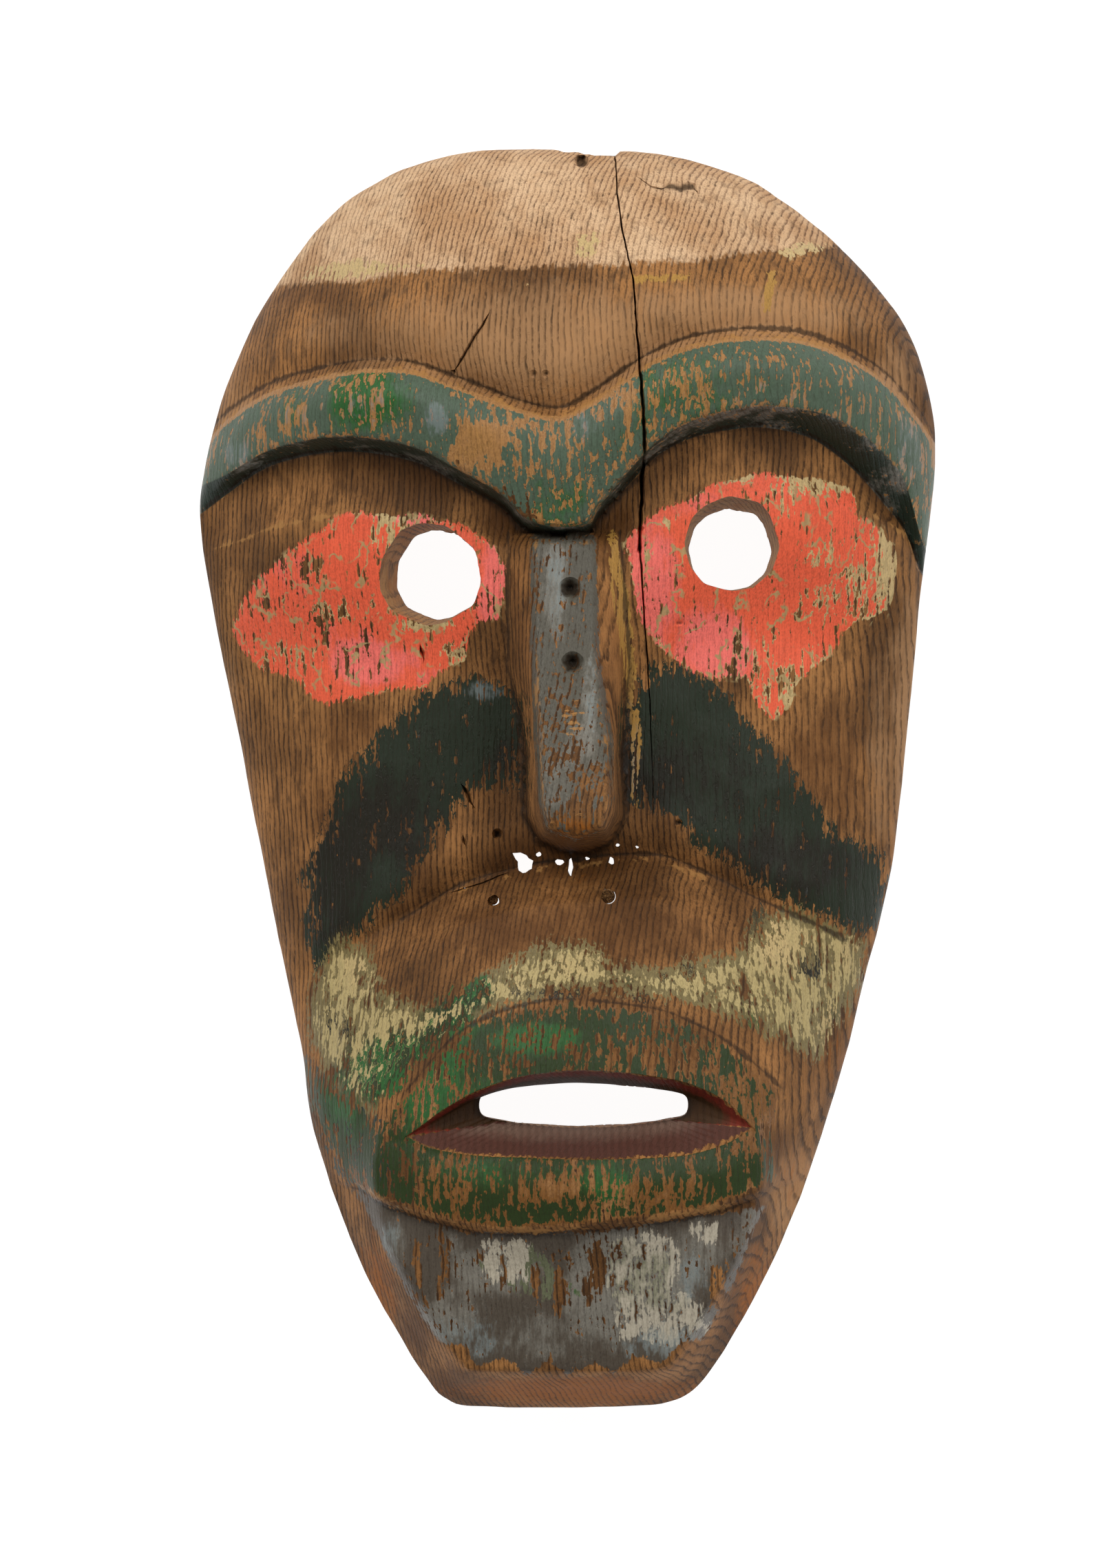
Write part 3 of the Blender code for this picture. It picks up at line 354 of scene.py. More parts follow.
# Soft spots where a paint has gone, where the ground shows, where a colour comes out, and where painted light
# or shade lies: the place, the reach across and up in millimetres, and the strength
SPOTS = {
    "bare": (
        (-23, 52, 7.7, 6.7, 0.5), (-7, 53, 9.9, 6.4, 0.22), (9, 59, 8.8, 5.1, 0.22),
        (37, 62, 7.2, 4, 0.12), (-83, 52, 1.9, 4.8, 0.3), (-51, 58, 1.6, 4.5, 0.25),
        (-74, 59, 6.4, 3.2, 0.1), (25, -44, 20.8, 4.8, 0.2), (50, -51, 9.6, 11.2, 0.2),
        (-31, -65, 4.8, 4, 0.25), (-4, -65, 9.6, 3.5, 0.25), (25, -65, 7.2, 4.8, 0.25),
        (-33, -77, 1.3, 8, 0.4), (-8, -79, 1.4, 4.8, 0.4), (8, -77, 2.4, 8, 0.4), (-17, -77, 1, 6.4, 0.2),
        (-23, 22, 4.8, 3.5, 0.35), (7, -2, 6.4, 6.4, 0.3), (7, -7, 9.6, 4, 0.5), (-2, 7, 4, 11.2, 0.15),
        (77, 23, 5.6, 6.4, 0.3), (61, 16, 6.4, 4.8, 0.2), (-66, 24, 8, 4, 0.14), (-70, 32, 5, 4, 0.12),
        (-40, -77, 1.2, 7, 0.5), (40, -80, 2.2, 6, 0.5), (-2, -80, 1.6, 8, 0.4),
    ),
    # Real dark stain, and painted shade under the brow, beside and under the nose, above the brow and along
    # the chin's lower edge
    "stain": (
        (0, -24, 42, 12, 0.7), (-45, 48, 32, 9, 0.45), (50, 50, 26, 6, 0.2), (-16, 42, 8, 8, 0.8),
        (13, 38, 7, 9, 0.8), (-45, -12, 12, 22, 0.4), (0, -13, 22, 8, 0.8), (-60, -40, 9, 30, 0.6),
        (74, -20, 12, 16, 0.4), (-52, 66, 26, 4, 0.2), (60, 70, 20, 4, 0.1), (-72, 76, 16, 3, 0.5),
        (5, -43, 44, 8, 0.5), (-46, -62, 5, 9, 0.9), (57, -60, 5, 8, 0.7), (-34, 68, 24, 5, 0.4),
        (40, 76, 22, 5, 0.15), (-24, 62, 12, 3, 0.6), (12, 62, 8, 3, 0.5), (62, -2, 20, 10, 0.6),
        (-60, -4, 14, 16, 0.5), (-30, -96, 12, 5, 0.8), (12, -97, 16, 4, 0.7), (-42, -88, 6, 9, 0.7),
        (46, -86, 5, 12, 0.7),
        (-60, 8, 11, 9, 0.6), (70, 4, 12, 14, 0.6),
    ),
    # Faded wood over the forehead, and painted light on the mask's steep sides where they catch the light
    "fade": (
        (-5, 68, 48, 14, 0.75), (45, 73, 34, 7, 0.75), (-40, 72, 20, 5, 0.3), (94, 8, 6, 34, 0.8),
        (-94, 8, 5, 24, 0.5), (86, 4, 5, 26, 0.5), (62, -66, 8, 14, 0.6), (-64, 70, 10, 5, 0.4),
        (88, 60, 6, 14, 0.7), (-90, 57, 6, 14, 0.5), (0, 88, 60, 14, 0.3),
    ),
    "primer": (
        (87, 34, 3.5, 12.8, 0.5), (69, 35, 4, 3.2, 0.25), (78, 24, 5.6, 5.6, 0.35), (61, 15, 8, 8, 0.3),
        (46, 47, 4.8, 1.3, 0.3), (65, 46, 9.6, 2.9, 0.35), (-48, 39, 4.8, 4.5, 0.3),
        (-38, 24, 6.1, 1.4, 0.5), (-62, 26, 7.2, 2.9, 0.22), (-68, 32, 4.8, 4, 0.15),
        (22, 35, 1.3, 2.2, 0.3), (27, 40, 2.4, 1.6, 0.25), (60, 43, 4, 3.2, 0.2), (-49, 28, 3.2, 4, 0.15),
        (72, 27, 9, 6, 0.16), (-75, 20, 8, 4, 0.12), (-30, 19, 7, 3, 0.16), (50, 20, 8, 5, 0.12),
        (80, 31, 6, 9, 0.2),
    ),
    # Faded red beside the nose, and below each eye a painted glossy highlight on the red
    "pink": (
        (-19, 30, 3.8, 12.8, 1), (-52, 18, 11.2, 4.8, 0.9), (-42, 41, 11.2, 1.9, 0.7),
        (22, 29, 7.2, 17.6, 0.9), (39, 21, 9.6, 8.8, 0.9), (35, 43, 9.6, 4, 0.4), (-34, 16, 9.6, 2.4, 0.5),
    ),
    "green": (
        (-27, -34, 8, 5.6, 0.8), (-44, -46, 14.4, 10.4, 0.9), (-60, -51, 6.4, 11.2, 0.6),
        (-8, -41, 11.2, 4, 0.9), (-31, -39, 9.6, 4.8, 0.7), (48, -40, 4.8, 4.8, 0.5),
        (-52, 59, 9.6, 6.4, 0.8), (-25, -50, 9.6, 6.4, 0.5), (-23, -62, 16, 4.8, 0.4),
        (14, -63, 19.2, 4.8, 0.3),
    ),
    "pale": (
        (20, -78, 15, 10, 0.9), (-17, -77, 9, 6, 0.8), (-33, -86, 8, 8, 0.6), (30, -87, 10, 7, 0.7),
        (12, -84, 12, 10, 0.6), (-8, -88, 14, 6, 0.5), (36, -74, 6, 8, 0.6), (-46, -74, 3, 8, 0.4),
        (-42, -38, 13, 8, 0.3), (-57, -30, 8, 9.6, 0.5), (5, -29, 14.4, 5.4, 0.42),
        (57, -26, 9.6, 9.6, 0.55), (76, -27, 8, 8, 0.4), (72, -41, 4.8, 6.4, 0.6), (-14, -33, 12, 4, 0.3),
        (38, -32, 12, 5, 0.3),
    ),
    "dark": (
        (50, -22, 3.2, 5.4, 0.9), (66, -30, 4, 4, 0.8), (-1, -34, 17.6, 1.9, 0.5),
        (24, -35, 9.6, 1.9, 0.5), (-62, -14, 9, 22, 0.7), (-57, -69, 3.2, 6.4, 0.6), (33, 0, 18, 11, 0.5),
        (-46, -6, 12, 12, 0.6), (63, -14, 18, 9, 0.6), (-60, -40, 7, 8, 0.35), (30, -31, 8, 3, 0.35),
    ),
    # Painted sheen: bluish highlights and reflections laid on the glossy paint of brow, nose, cheek, chin and
    # left side
    "haze": (
        (-35, 56, 3.5, 4.5, 0.9), (5, 55, 3.5, 4, 0.7), (-23, 13.8, 7, 3, 0.7), (-26, -88, 12, 6, 0.6),
        (26, -89, 12, 5, 0.7), (33, -79, 6, 8, 0.6), (-48, -73, 3, 7, 0.6), (-3, 30, 3, 12, 0.7),
        (6, 12, 2, 14, 0.6), (-60, 58, 18, 4, 0.4), (50, 60, 20, 4, 0.35), (80, 56, 10, 5, 0.35),
        (-88, 51, 5, 5, 0.6), (92, 52, 4, 9, 0.6), (-74, -48, 5, 18, 0.6), (-8, 44, 6, 3, 0.4),
    ),
    "shaved": (
        (2, 9, 6, 10, 1), (3, -5, 6, 4, 0.9),
    ),
    "warm": (
        (2, -97, 38, 5, 1), (-52, -84, 7, 22, 0.9), (51, -85, 7, 20, 0.9), (62, -64, 8, 16, 0.6),
        (74, -44, 6, 14, 0.6), (2, -8, 7, 4, 0.8), (4, -16, 20, 3, 0.5),
    ),
}

# The line across the forehead above which the wood has bleached
BLEACH_LINE = (
    (-120.0, 66.0), (-97.8, 72.1), (-86.6, 76.5), (-76.3, 78.1), (-56.7, 78.1), (-41.8, 79.2), (-25.0, 79.8),
    (-4.5, 80.0), (14.2, 80.3), (32.8, 81.1), (47.8, 82.5), (70.2, 84.2), (88.8, 87.5), (120.0, 92.0),
)


def linear(colour):
    """A colour written as sRGB hex, in the linear values that Blender works in."""
    values = [int(colour[i:i + 2], 16) / 255 for i in (1, 3, 5)]
    return [v / 12.92 if v <= 0.04045 else ((v + 0.055) / 1.055) ** 2.4 for v in values]


def drawn(points):
    """Turn shares of the mask's size into millimetres."""
    return np.asarray(points, float) * (ACROSS, UP)


def by_height(table, scale):
    """A value for each height up the mask, as a smooth line of (height, value) in millimetres."""
    return spline(np.asarray(table, float) * (UP, scale))


def spline(points, closed=False, steps=10):
    """A smooth line that passes through the points."""
    points = np.asarray(points, float)
    if closed:
        ends = np.vstack([points[-1], points, points[0], points[1]])
    else:
        ends = np.vstack([2 * points[0] - points[1], points, 2 * points[-1] - points[-2]])
    t = np.linspace(0, 1, steps, endpoint=False)[:, None]
    parts = []
    for a, b, c, d in zip(ends, ends[1:], ends[2:], ends[3:]):
        bend = (2 * a - 5 * b + 4 * c - d) * t ** 2 + (3 * b - a - 3 * c + d) * t ** 3
        parts.append((2 * b + (c - a) * t + bend) / 2)
    if not closed:
        parts.append(points[-1:])
    return np.vstack(parts)


def evenly(line, facet=None, count=None, closed=False):
    """Points at even steps along a line."""
    if closed:
        line = np.vstack([line, line[:1]])
    travel = np.concatenate([[0], np.cumsum(np.linalg.norm(np.diff(line, axis=0), axis=1))])
    if count is None:
        count = max(int(round(travel[-1] / facet)), 2)
    stops = np.linspace(0, travel[-1], count if closed else count + 1, endpoint=not closed)
    return np.column_stack([np.interp(stops, travel, line[:, 0]), np.interp(stops, travel, line[:, 1])])


def at(line, x):
    """The second value of a line where its first is x."""
    return np.interp(x, line[:, 0], line[:, 1])


def in_parts(work, points, *rest, size=4000):
    """The same work done on a few thousand points at a time, to spare memory."""
    return np.concatenate([work(points[i:i + size], *rest) for i in range(0, len(points), size)])


def nearest(points, starts, runs):
    """How far each point lies from the nearest of the runs."""
    away = points[:, None] - starts[None]
    share = np.clip((away * runs).sum(2) / (runs ** 2).sum(1), 0, 1)
    return np.sqrt(((away - share[..., None] * runs) ** 2).sum(axis=2).min(axis=1))


def distance(points, line, closed=False):
    """How far each point lies from a line."""
    line = np.asarray(line)
    starts = line if closed else line[:-1]
    runs = (np.roll(line, -1, axis=0) if closed else line[1:]) - starts
    return in_parts(nearest, points, starts, runs)


def crossed(points, loop):
    """Which points lie inside a closed loop, by how often a line from them crosses it."""
    x, y = points[:, :1], points[:, 1:]
    x1, y1 = loop.T
    x2, y2 = np.roll(loop, -1, axis=0).T
    level = y2 == y1
    crossing = (y1 > y) != (y2 > y)
    reach = x1 + (y - y1) * (x2 - x1) / np.where(level, 1, y2 - y1)
    return (crossing & (x < reach)).sum(axis=1) % 2 == 1


def inside(points, loop):
    """Which points lie inside a closed loop."""
    return in_parts(crossed, points, np.asarray(loop))


def within(points, loop):
    """How far inside a closed loop each point lies, and how far outside as a negative value."""
    away = distance(points, loop, closed=True)
    return np.where(inside(points, loop), away, -away)


def circle(centre, diameter, count):
    """A round loop, counted anticlockwise."""
    angles = 2 * np.pi * np.arange(count) / count
    return centre + diameter / 2 * np.column_stack([np.cos(angles), np.sin(angles)])


def knifed(centre, diameter, count, cuts, seed, slack=0.035):
    """A hole pared round with a knife: flat cuts of uneven length, with their corners eased."""
    rng = np.random.default_rng(seed)
    angles = 2 * np.pi * (np.arange(cuts) + rng.uniform(-0.28, 0.28, cuts)) / cuts
    reach = diameter / 2 * (1 + rng.uniform(-slack, slack, cuts)) / np.cos(np.pi / cuts * 0.62)
    corners = centre + reach[:, None] * np.column_stack([np.cos(angles), np.sin(angles)])
    return softened(evenly(corners, count=count, closed=True), 2)


def ragged(centre, width, height, count, seed):
    """A torn hole of about this width and height."""
    rng = np.random.default_rng(seed)
    angles = 2 * np.pi * np.arange(count) / count
    reach = rng.uniform(0.32, 0.5, count)[:, None]
    return centre + reach * np.column_stack([np.cos(angles) * width, np.sin(angles) * height])


def inset(loop, width):
    """The same loop drawn further in."""
    along = np.roll(loop, -1, axis=0) - np.roll(loop, 1, axis=0)
    along /= np.linalg.norm(along, axis=1)[:, None]
    return loop + width * np.column_stack([-along[:, 1], along[:, 0]])


def softened(loop, rounds=3):
    """The same loop with its tight bends eased."""
    for _ in range(rounds):
        loop = (np.roll(loop, 1, axis=0) + 2 * loop + np.roll(loop, -1, axis=0)) / 4
    return loop


def ease(u):
    """A slope that starts and ends level."""
    return u * u * (3 - 2 * u)


def straight(u):
    """A slope of one pitch."""
    return u


def rounded(u):
    """A slope that starts steep and ends level."""
    return np.sqrt(1 - (1 - u) ** 2)


def swelling(u):
    """A slope that starts at a pitch and ends level."""
    return np.sin(np.pi / 2 * u)


def hollowed(u):
    """A slope that starts level and ends at a pitch."""
    return u ** 2


def ramp(low, high, value):
    """From 0 at the low value to 1 at the high one, with eased ends."""
    return ease(np.clip((value - low) / (high - low), 0, 1))


def outline_loop(count):
    """The outline, at the mask's width and height and centred on the origin, counted anticlockwise."""
    loop = spline(drawn(OUTLINE), closed=True)[::-1]
    middle = (loop.max(axis=0) + loop.min(axis=0)) / 2
    size = loop.max(axis=0) - loop.min(axis=0)
    loop = (loop - middle) * (WIDTH, HEIGHT) / size
    return evenly(loop, count=count, closed=True)


def mouth_opening(count):
    """The edge of the lips around the mouth: the upper lip from left to right, then the lower one back."""
    top, bottom = spline(drawn(MOUTH_TOP)), spline(drawn(MOUTH_BOTTOM))
    share = (1 - np.cos(np.pi * np.arange(count + 1) / count)) / 2
    x = top[0, 0] + (top[-1, 0] - top[0, 0]) * share
    upper = np.column_stack([x, at(top, x)])
    lower = np.column_stack([x, at(bottom, x)])[-2:0:-1]
    return np.vstack([upper, lower])


def mouth_slot(count):
    """The slot cut through the wood inside the mouth, point for point with the edge of the lips."""
    centre = drawn(MOUTH_SLOT)
    u = -np.cos(np.pi * np.arange(count + 1) / count)
    corner = np.sqrt(1 - u ** 40)
    arch = 1 - 0.5 * u ** 2
    x = centre[0] + MOUTH_SLOT_WIDTH / 2 * u
    upper = np.column_stack([x, centre[1] + MOUTH_SLOT_HEIGHT / 2 * corner * arch])
    lower = np.column_stack([x, centre[1] - MOUTH_SLOT_HEIGHT / 2 * corner * arch])[-2:0:-1]
    return np.vstack([upper, lower])


LINES = {
    "brow top": spline(drawn(BROW_TOP)),
    "brow bottom": spline(drawn(BROW_BOTTOM)),
    "brow undercut": spline(drawn(BROW_UNDERCUT)),
    "eyelid": spline(drawn(EYELID)),
    "crease": spline(drawn(CREASE)),
    "lip roll": spline(drawn(LIP_ROLL)),
    "mouth top": spline(drawn(MOUTH_TOP)),
    "mouth bottom": spline(drawn(MOUTH_BOTTOM)),
    "lip bottom": spline(drawn(LIP_BOTTOM)),
}
EDGE_COUNT = 640
MOUTH_COUNT = 190
OUTER_EDGE = outline_loop(EDGE_COUNT)
INNER_EDGE = softened(inset(OUTER_EDGE, RIM_WIDTH), 40)
FACE_CROWN = by_height(CROWN, OUT)
FACE_FALL = by_height(FALL, OUT)
FACE_EDGE = by_height(EDGE, OUT)
FACE_ROLL = by_height(ROLL, ACROSS)
NOSE_HEIGHT = by_height(NOSE_RIDGE, OUT)
FOOT_OF_NOSE = drawn(NOSE_FOOT)
FACE_OF_NOSE = drawn(NOSE_FACE)


def carving_lines(x):
    """The carving from the forehead down to the chin: the place of each line across the mask at x, the
    carving's height there, and the slope that leads down to it."""
    brow_top = at(LINES["brow top"], x)
    brow_bottom = at(LINES["brow bottom"], x)
    eyelid = at(LINES["eyelid"], x)
    crease = at(LINES["crease"], x)
    roll = at(LINES["lip roll"], x)
    mouth_top = at(LINES["mouth top"], x)
    mouth_bottom = at(LINES["mouth bottom"], x)
    lip_bottom = at(LINES["lip bottom"], x)
    spread = np.clip(1 - (x / (MOUND_SPREAD * ACROSS)) ** 2, 0, 1)
    mound = MOUND * spread
    foot = LOWER_LIP_FOOT * mound
    crease_depth = CREASE_DEPTH * (CREASE_AT_SIDES + (1 - CREASE_AT_SIDES) * spread)
    lip_rise = crease_depth + LIP_RISE * (mound - crease_depth)
    chin = CHIN * (1 - (x / (100 * ACROSS)) ** 2)
    return (
        (brow_top + GROOVE_ROLL * UP, FOREHEAD, straight),
        (brow_top + GROOVE_GAP * UP, GROOVE, hollowed),
        (brow_top, BROW_EDGE, straight),
        (0.5 * brow_top + 0.5 * brow_bottom, BROW_CREST, swelling),
        (brow_bottom, BROW_LIP, ease),
        (brow_bottom - at(LINES["brow undercut"], x), SOCKET, straight),
        (eyelid, EYELID_EDGE, hollowed),
        (eyelid - EYEBALL_DROP * UP, EYEBALL, swelling),
        (eyelid - EYE_SOCKET_END * UP, 0, ease),
        (crease + CREASE_REACH * UP, CREASE_BRINK * crease_depth, ease),
        (crease, crease_depth, hollowed),
        (crease + LIP_RISE_PLACE * (roll - crease), lip_rise, straight),
        (roll, UPPER_LIP_EDGE * mound, straight),
        (mouth_top, mound, swelling),
        (mouth_bottom, LOWER_LIP_EDGE * mound, straight),
        (0.6 * mouth_bottom + 0.4 * lip_bottom, LOWER_LIP_CREST * mound, swelling),
        (lip_bottom, foot, ease),
        (lip_bottom - STEP_REACH * UP, foot - LIP_STEP, straight),
        (CHIN_TOP * UP + 0 * x, chin, ease),
        (CHIN_FOOT * UP + 0 * x, CHIN_FOOT_SHARE * chin, straight),
    )


def carving(x, y):
    """Height of the carving over the plain face."""
    lines = carving_lines(x)
    place, height, _ = lines[0]
    total = np.full_like(x, height)
    for next_place, next_height, slope in lines[1:]:
        next_place = np.minimum(next_place, place - 0.3)
        share = np.clip((place - y) / (place - next_place), 0, 1)
        total = total + (next_height - height) * slope(share)
        place, height = next_place, next_height
    return total * OUT


def edge_roll(y, away):
    """How much of the full height is reached this far from the outline: a round roll, flat at the chin."""
    share = np.clip(away / at(FACE_ROLL, y), 0, 1)
    bevelled = np.clip((ROUND_ROLL_FROM * UP - y) / ((ROUND_ROLL_FROM - FLAT_BEVEL_FROM) * UP), 0, 1)
    return rounded(share) * (1 - bevelled) + share * bevelled


def plain_face(x, y):
    """The full height of the face before its edge is rolled and before it is carved."""
    return at(FACE_CROWN, y) - at(FACE_FALL, y) * (x / (100 * ACROSS)) ** 2


def front_height(points):
    """Height of the carved face and of the nose that stands on it, before cracks and pits."""
    x, y = points.T
    edge = at(FACE_EDGE, y)
    full = plain_face(x, y) + carving(x, y)
    height = edge + (full - edge) * edge_roll(y, distance(points, OUTER_EDGE, closed=True))
    on_nose = inside(points, FOOT_OF_NOSE)
    on_front = inside(points, FACE_OF_NOSE)
    from_foot = distance(points, FOOT_OF_NOSE, closed=True)
    from_front = distance(points, FACE_OF_NOSE, closed=True)
    climb = np.where(on_front, 1, from_foot / (from_foot + from_front + 1e-9)) * on_nose
    return height + climb * (at(NOSE_HEIGHT, y) - height)


def back_height(points):
    """Height of the hollow behind, which follows the face at a wall's thickness."""
    x, y = points.T
    brow = np.clip((y - at(LINES["eyelid"], x)) / (HOLLOW_FOREHEAD_REACH * UP), 0, 1)
    mouth = np.exp(-((y / UP - HOLLOW_MOUTH_PLACE) / HOLLOW_MOUTH_REACH) ** 2)
    mouth = mouth * np.clip(1 - (x / (HOLLOW_MOUTH_SPREAD * ACROSS)) ** 2, 0, 1)
    pocket = np.exp(-(((points - drawn(NOSE_POCKET_PLACE)) / drawn(NOSE_POCKET_SIZE)) ** 2).sum(axis=1))
    roll = rounded(np.clip(distance(points, INNER_EDGE, closed=True) / (HOLLOW_ROLL * ACROSS), 0, 1))
    full = plain_face(x, y) - WALL
    full += OUT * (HOLLOW_FOREHEAD * ease(brow) + HOLLOW_MOUTH * mouth + NOSE_POCKET * pocket)
    return full * roll


def sideways(line):
    """The direction to the left of a line at each of its points."""
    along = np.gradient(line, axis=0)
    along /= np.linalg.norm(along, axis=1)[:, None]
    return np.column_stack([-along[:, 1], along[:, 0]])


def wavering(line, reach, step, seed):
    """The same line at even steps, with the small sideways jumps of wood that splits along its fibres."""
    rng = np.random.default_rng(seed)
    line = evenly(line, facet=step)
    sway = np.cumsum(rng.normal(0, 0.5, len(line)))
    sway -= np.linspace(sway[0], sway[-1], len(sway))
    jumps = np.clip(sway, -2, 2) * reach / 2 + rng.uniform(-0.25, 0.25, len(line)) * reach
    jumps[0] = jumps[-1] = 0
    return line + jumps[:, None] * sideways(line)


def split_lines():
    """Each crack as its middle line, the half width at each of its points, and its depth."""
    rng = np.random.default_rng(5)
    splits = []
    for number, (points, width, depth) in enumerate(CRACKS):
        middle = wavering(spline(drawn(points)), 0.3 * width, 1.3, 20 + number)
        share = np.linspace(0, 1, len(middle))
        taper = np.minimum(1, 5 * np.minimum(share + 0.04, 1.04 - share))
        if number == 0:
            taper = 0.55 + 0.75 * ramp(0.35, 0.7, share)
        if number == 1:
            taper = 1.0 - 0.8 * share
        splits.append((middle, width / 2 * taper * rng.uniform(0.75, 1.2, len(middle)), depth))
    return splits


def lips_of(middle, halves):
    """The two lips of a crack."""
    aside = sideways(middle) * halves[:, None]
    return middle + aside, middle - aside


def damage(points, splits):
    """How deep cracks, gashes, nail holes and pits go into the face at each point."""
    depth = np.zeros(len(points))
    for middle, halves, deep in splits:
        reach = np.ptp(middle, axis=0) / 2 + 3
        near = np.nonzero((np.abs(points - middle.mean(axis=0)) < reach).all(axis=1))[0]
        away = distance(points[near], middle)
        closest = np.argmin(np.linalg.norm(points[near][:, None] - middle[None], axis=2), axis=1)
        share = np.clip(1 - away / np.maximum(halves[closest], 0.05), 0, 1)
        depth[near] = np.maximum(depth[near], deep * share ** 0.7)
    for x, y, radius, deep in PITS:
        away = np.linalg.norm(points - drawn((x, y)), axis=1)
        depth = np.maximum(depth, deep * np.sqrt(np.clip(1 - (away / radius) ** 2, 0, 1)))
    for pit in drawn(NAIL_PITS):
        away = np.linalg.norm(points - pit, axis=1)
        bevel = ramp(NAIL_PIT_DIAMETER / 2, NAIL_DIAMETER / 2, away)
        core = ramp(NAIL_DIAMETER / 2, 0.3, away)
        depth = depth + NAIL_BEVEL_DEPTH * bevel + (NAIL_PIT_DEPTH - NAIL_BEVEL_DEPTH) * core
    return depth


def spaced(points, kept, gap):
    """The points that lie at least a gap from all that are kept."""
    tree = kdtree.KDTree(len(kept))
    for index, point in enumerate(kept):
        tree.insert((point[0], point[1], 0), index)
    tree.balance()
    return np.array([p for p in points if tree.find((p[0], p[1], 0))[2] > gap]).reshape(-1, 2)


def lattice(loop, facet):
    """A triangular lattice of points over the inside of a loop."""
    low, high = loop.min(axis=0), loop.max(axis=0)
    rows = []
    for row, y in enumerate(np.arange(low[1], high[1], facet * np.sqrt(0.75))):
        x = np.arange(low[0] + facet / 2 * (row % 2), high[0], facet)
        rows.append(np.column_stack([x, np.full_like(x, y)]))
    points = np.vstack(rows)
    return points[inside(points, loop)]


def clipped(line, edge, holes, margin):
    """The runs of a line that stay inside the edge and clear of the holes."""
    keep = inside(line, edge) & (distance(line, edge, closed=True) > margin)
    for hole in holes:
        keep &= ~inside(line, hole) & (distance(line, hole, closed=True) > margin)
    runs = np.split(np.arange(len(line)), np.nonzero(np.diff(keep.astype(int)))[0] + 1)
    return [line[run] for run in runs if keep[run[0]] and len(run) > 1]


def sheet(edge, holes, lines, rings, facet):
    """Triangles over the inside of the edge and round the holes, with an edge along each line. Gives the
    points, the triangles, and where the edge and each hole are among the points."""
    points = [edge] + list(holes)
    loops = []
    edges = []
    first = 0
    for loop in points:
        numbers = list(range(first, first + len(loop)))
        loops.append(numbers)
        edges += list(zip(numbers, numbers[1:] + numbers[:1]))
        first += len(loop)
    for line in lines:
        edges += [(first + i, first + i + 1) for i in range(len(line) - 1)]
        points.append(line)
        first += len(line)
    fixed = np.vstack(points)
    for width in rings:
        ring = softened(inset(edge, width), 1)
        fixed = np.vstack([fixed, spaced(ring, fixed, width * 0.3)])
    fill = spaced(lattice(inset(edge, rings[-1] + facet / 2), facet), fixed, facet * 0.62)
    plan = np.vstack([fixed, fill])
    result = delaunay_2d_cdt([Vector(p) for p in plan], edges, [], 0, 1e-5)
    plan = np.array([tuple(v) for v in result[0]])
    triangles = np.array([tuple(face) for face in result[2]])
    middles = plan[triangles].mean(axis=1)
    keep = inside(middles, edge)
    for hole in holes:
        keep &= ~inside(middles, hole)
    place = {}
    for number, sources in enumerate(result[3]):
        for source in sources:
            place[source] = number
    return plan, triangles[keep], [[place[i] for i in loop] for loop in loops]


def band(lower, upper):
    """Quads between two loops of as many points."""
    after_lower = lower[1:] + lower[:1]
    after_upper = upper[1:] + upper[:1]
    return [list(corners) for corners in zip(lower, after_lower, after_upper, upper)]


def carved_lines(holes, facet):
    """The lines that get an edge of their own in the front, cut short of the outline and of the holes. Both
    edges of a step have their points at the same places across."""
    drops = {
        "brow top": lambda x: (0 * x, GROOVE_GAP * UP + 0 * x),
        "brow bottom": lambda x: (0 * x, -at(LINES["brow undercut"], x)),
        "eyelid": lambda x: (0 * x,),
        "crease": lambda x: (0 * x,),
        "lip roll": lambda x: (0 * x,),
        "lip bottom": lambda x: (0 * x, -STEP_REACH * UP + 0 * x),
    }
    runs = []
    for name, steps in drops.items():
        main = evenly(LINES[name], facet=facet)
        for step in steps(main[:, 0]):
            line = main + np.column_stack([0 * step, step])
            runs += clipped(line, OUTER_EDGE, list(holes) + [FOOT_OF_NOSE], facet / 3)
    return runs


def closed(loop, facet=None):
    """A loop as a line that ends where it starts."""
    if facet:
        length = np.linalg.norm(np.diff(loop, axis=0), axis=1).sum()
        loop = evenly(loop, count=int(length / facet), closed=True)
    return np.vstack([loop, loop[:1]])


def chin_bevel():
    """The line where the flat bevel round the chin meets the face."""
    width = at(FACE_ROLL, FLAT_BEVEL_FROM * UP)
    ring = inset(OUTER_EDGE, width)
    low = (ring[:, 1] < FLAT_BEVEL_FROM * UP) & (distance(ring, OUTER_EDGE, closed=True) > 0.98 * width)
    start = np.nonzero(low & ~np.roll(low, 1))[0][0]
    ring = np.roll(ring, -start, axis=0)
    return ring[np.roll(low, -start)]


class Shape:
    """The mesh as it grows: its points, its faces, and for each point the part of the mask that it is on
    and how far it lies behind the painted face."""

    def __init__(self):
        self.points = []
        self.faces = []
        self.part = []
        self.behind = []
        self.damage = np.zeros(0)

    def add(self, points, part, behind=0.0):
        """Add points and give back their numbers."""
        first = len(self.points)
        self.points += [tuple(p) for p in points]
        self.part += [part] * len(points)
        self.behind += list(np.broadcast_to(behind, len(points)))
        return list(range(first, first + len(points)))

    def wall(self, front, back, part, rows):
        """Rows of quads from a loop in front to a loop behind."""
        start = np.array([self.points[i] for i in front])
        end = np.array([self.points[i] for i in back])
        depth = np.linalg.norm(end - start, axis=1)
        before = front
        for share in rows:
            row = self.add(start + (end - start) * share, part, depth * share)
            self.faces += band(before, row)
            before = row
        self.faces += band(before, back)


FRONT, SIDE, RIM, HOLLOW, MOUTH, CUT = range(6)


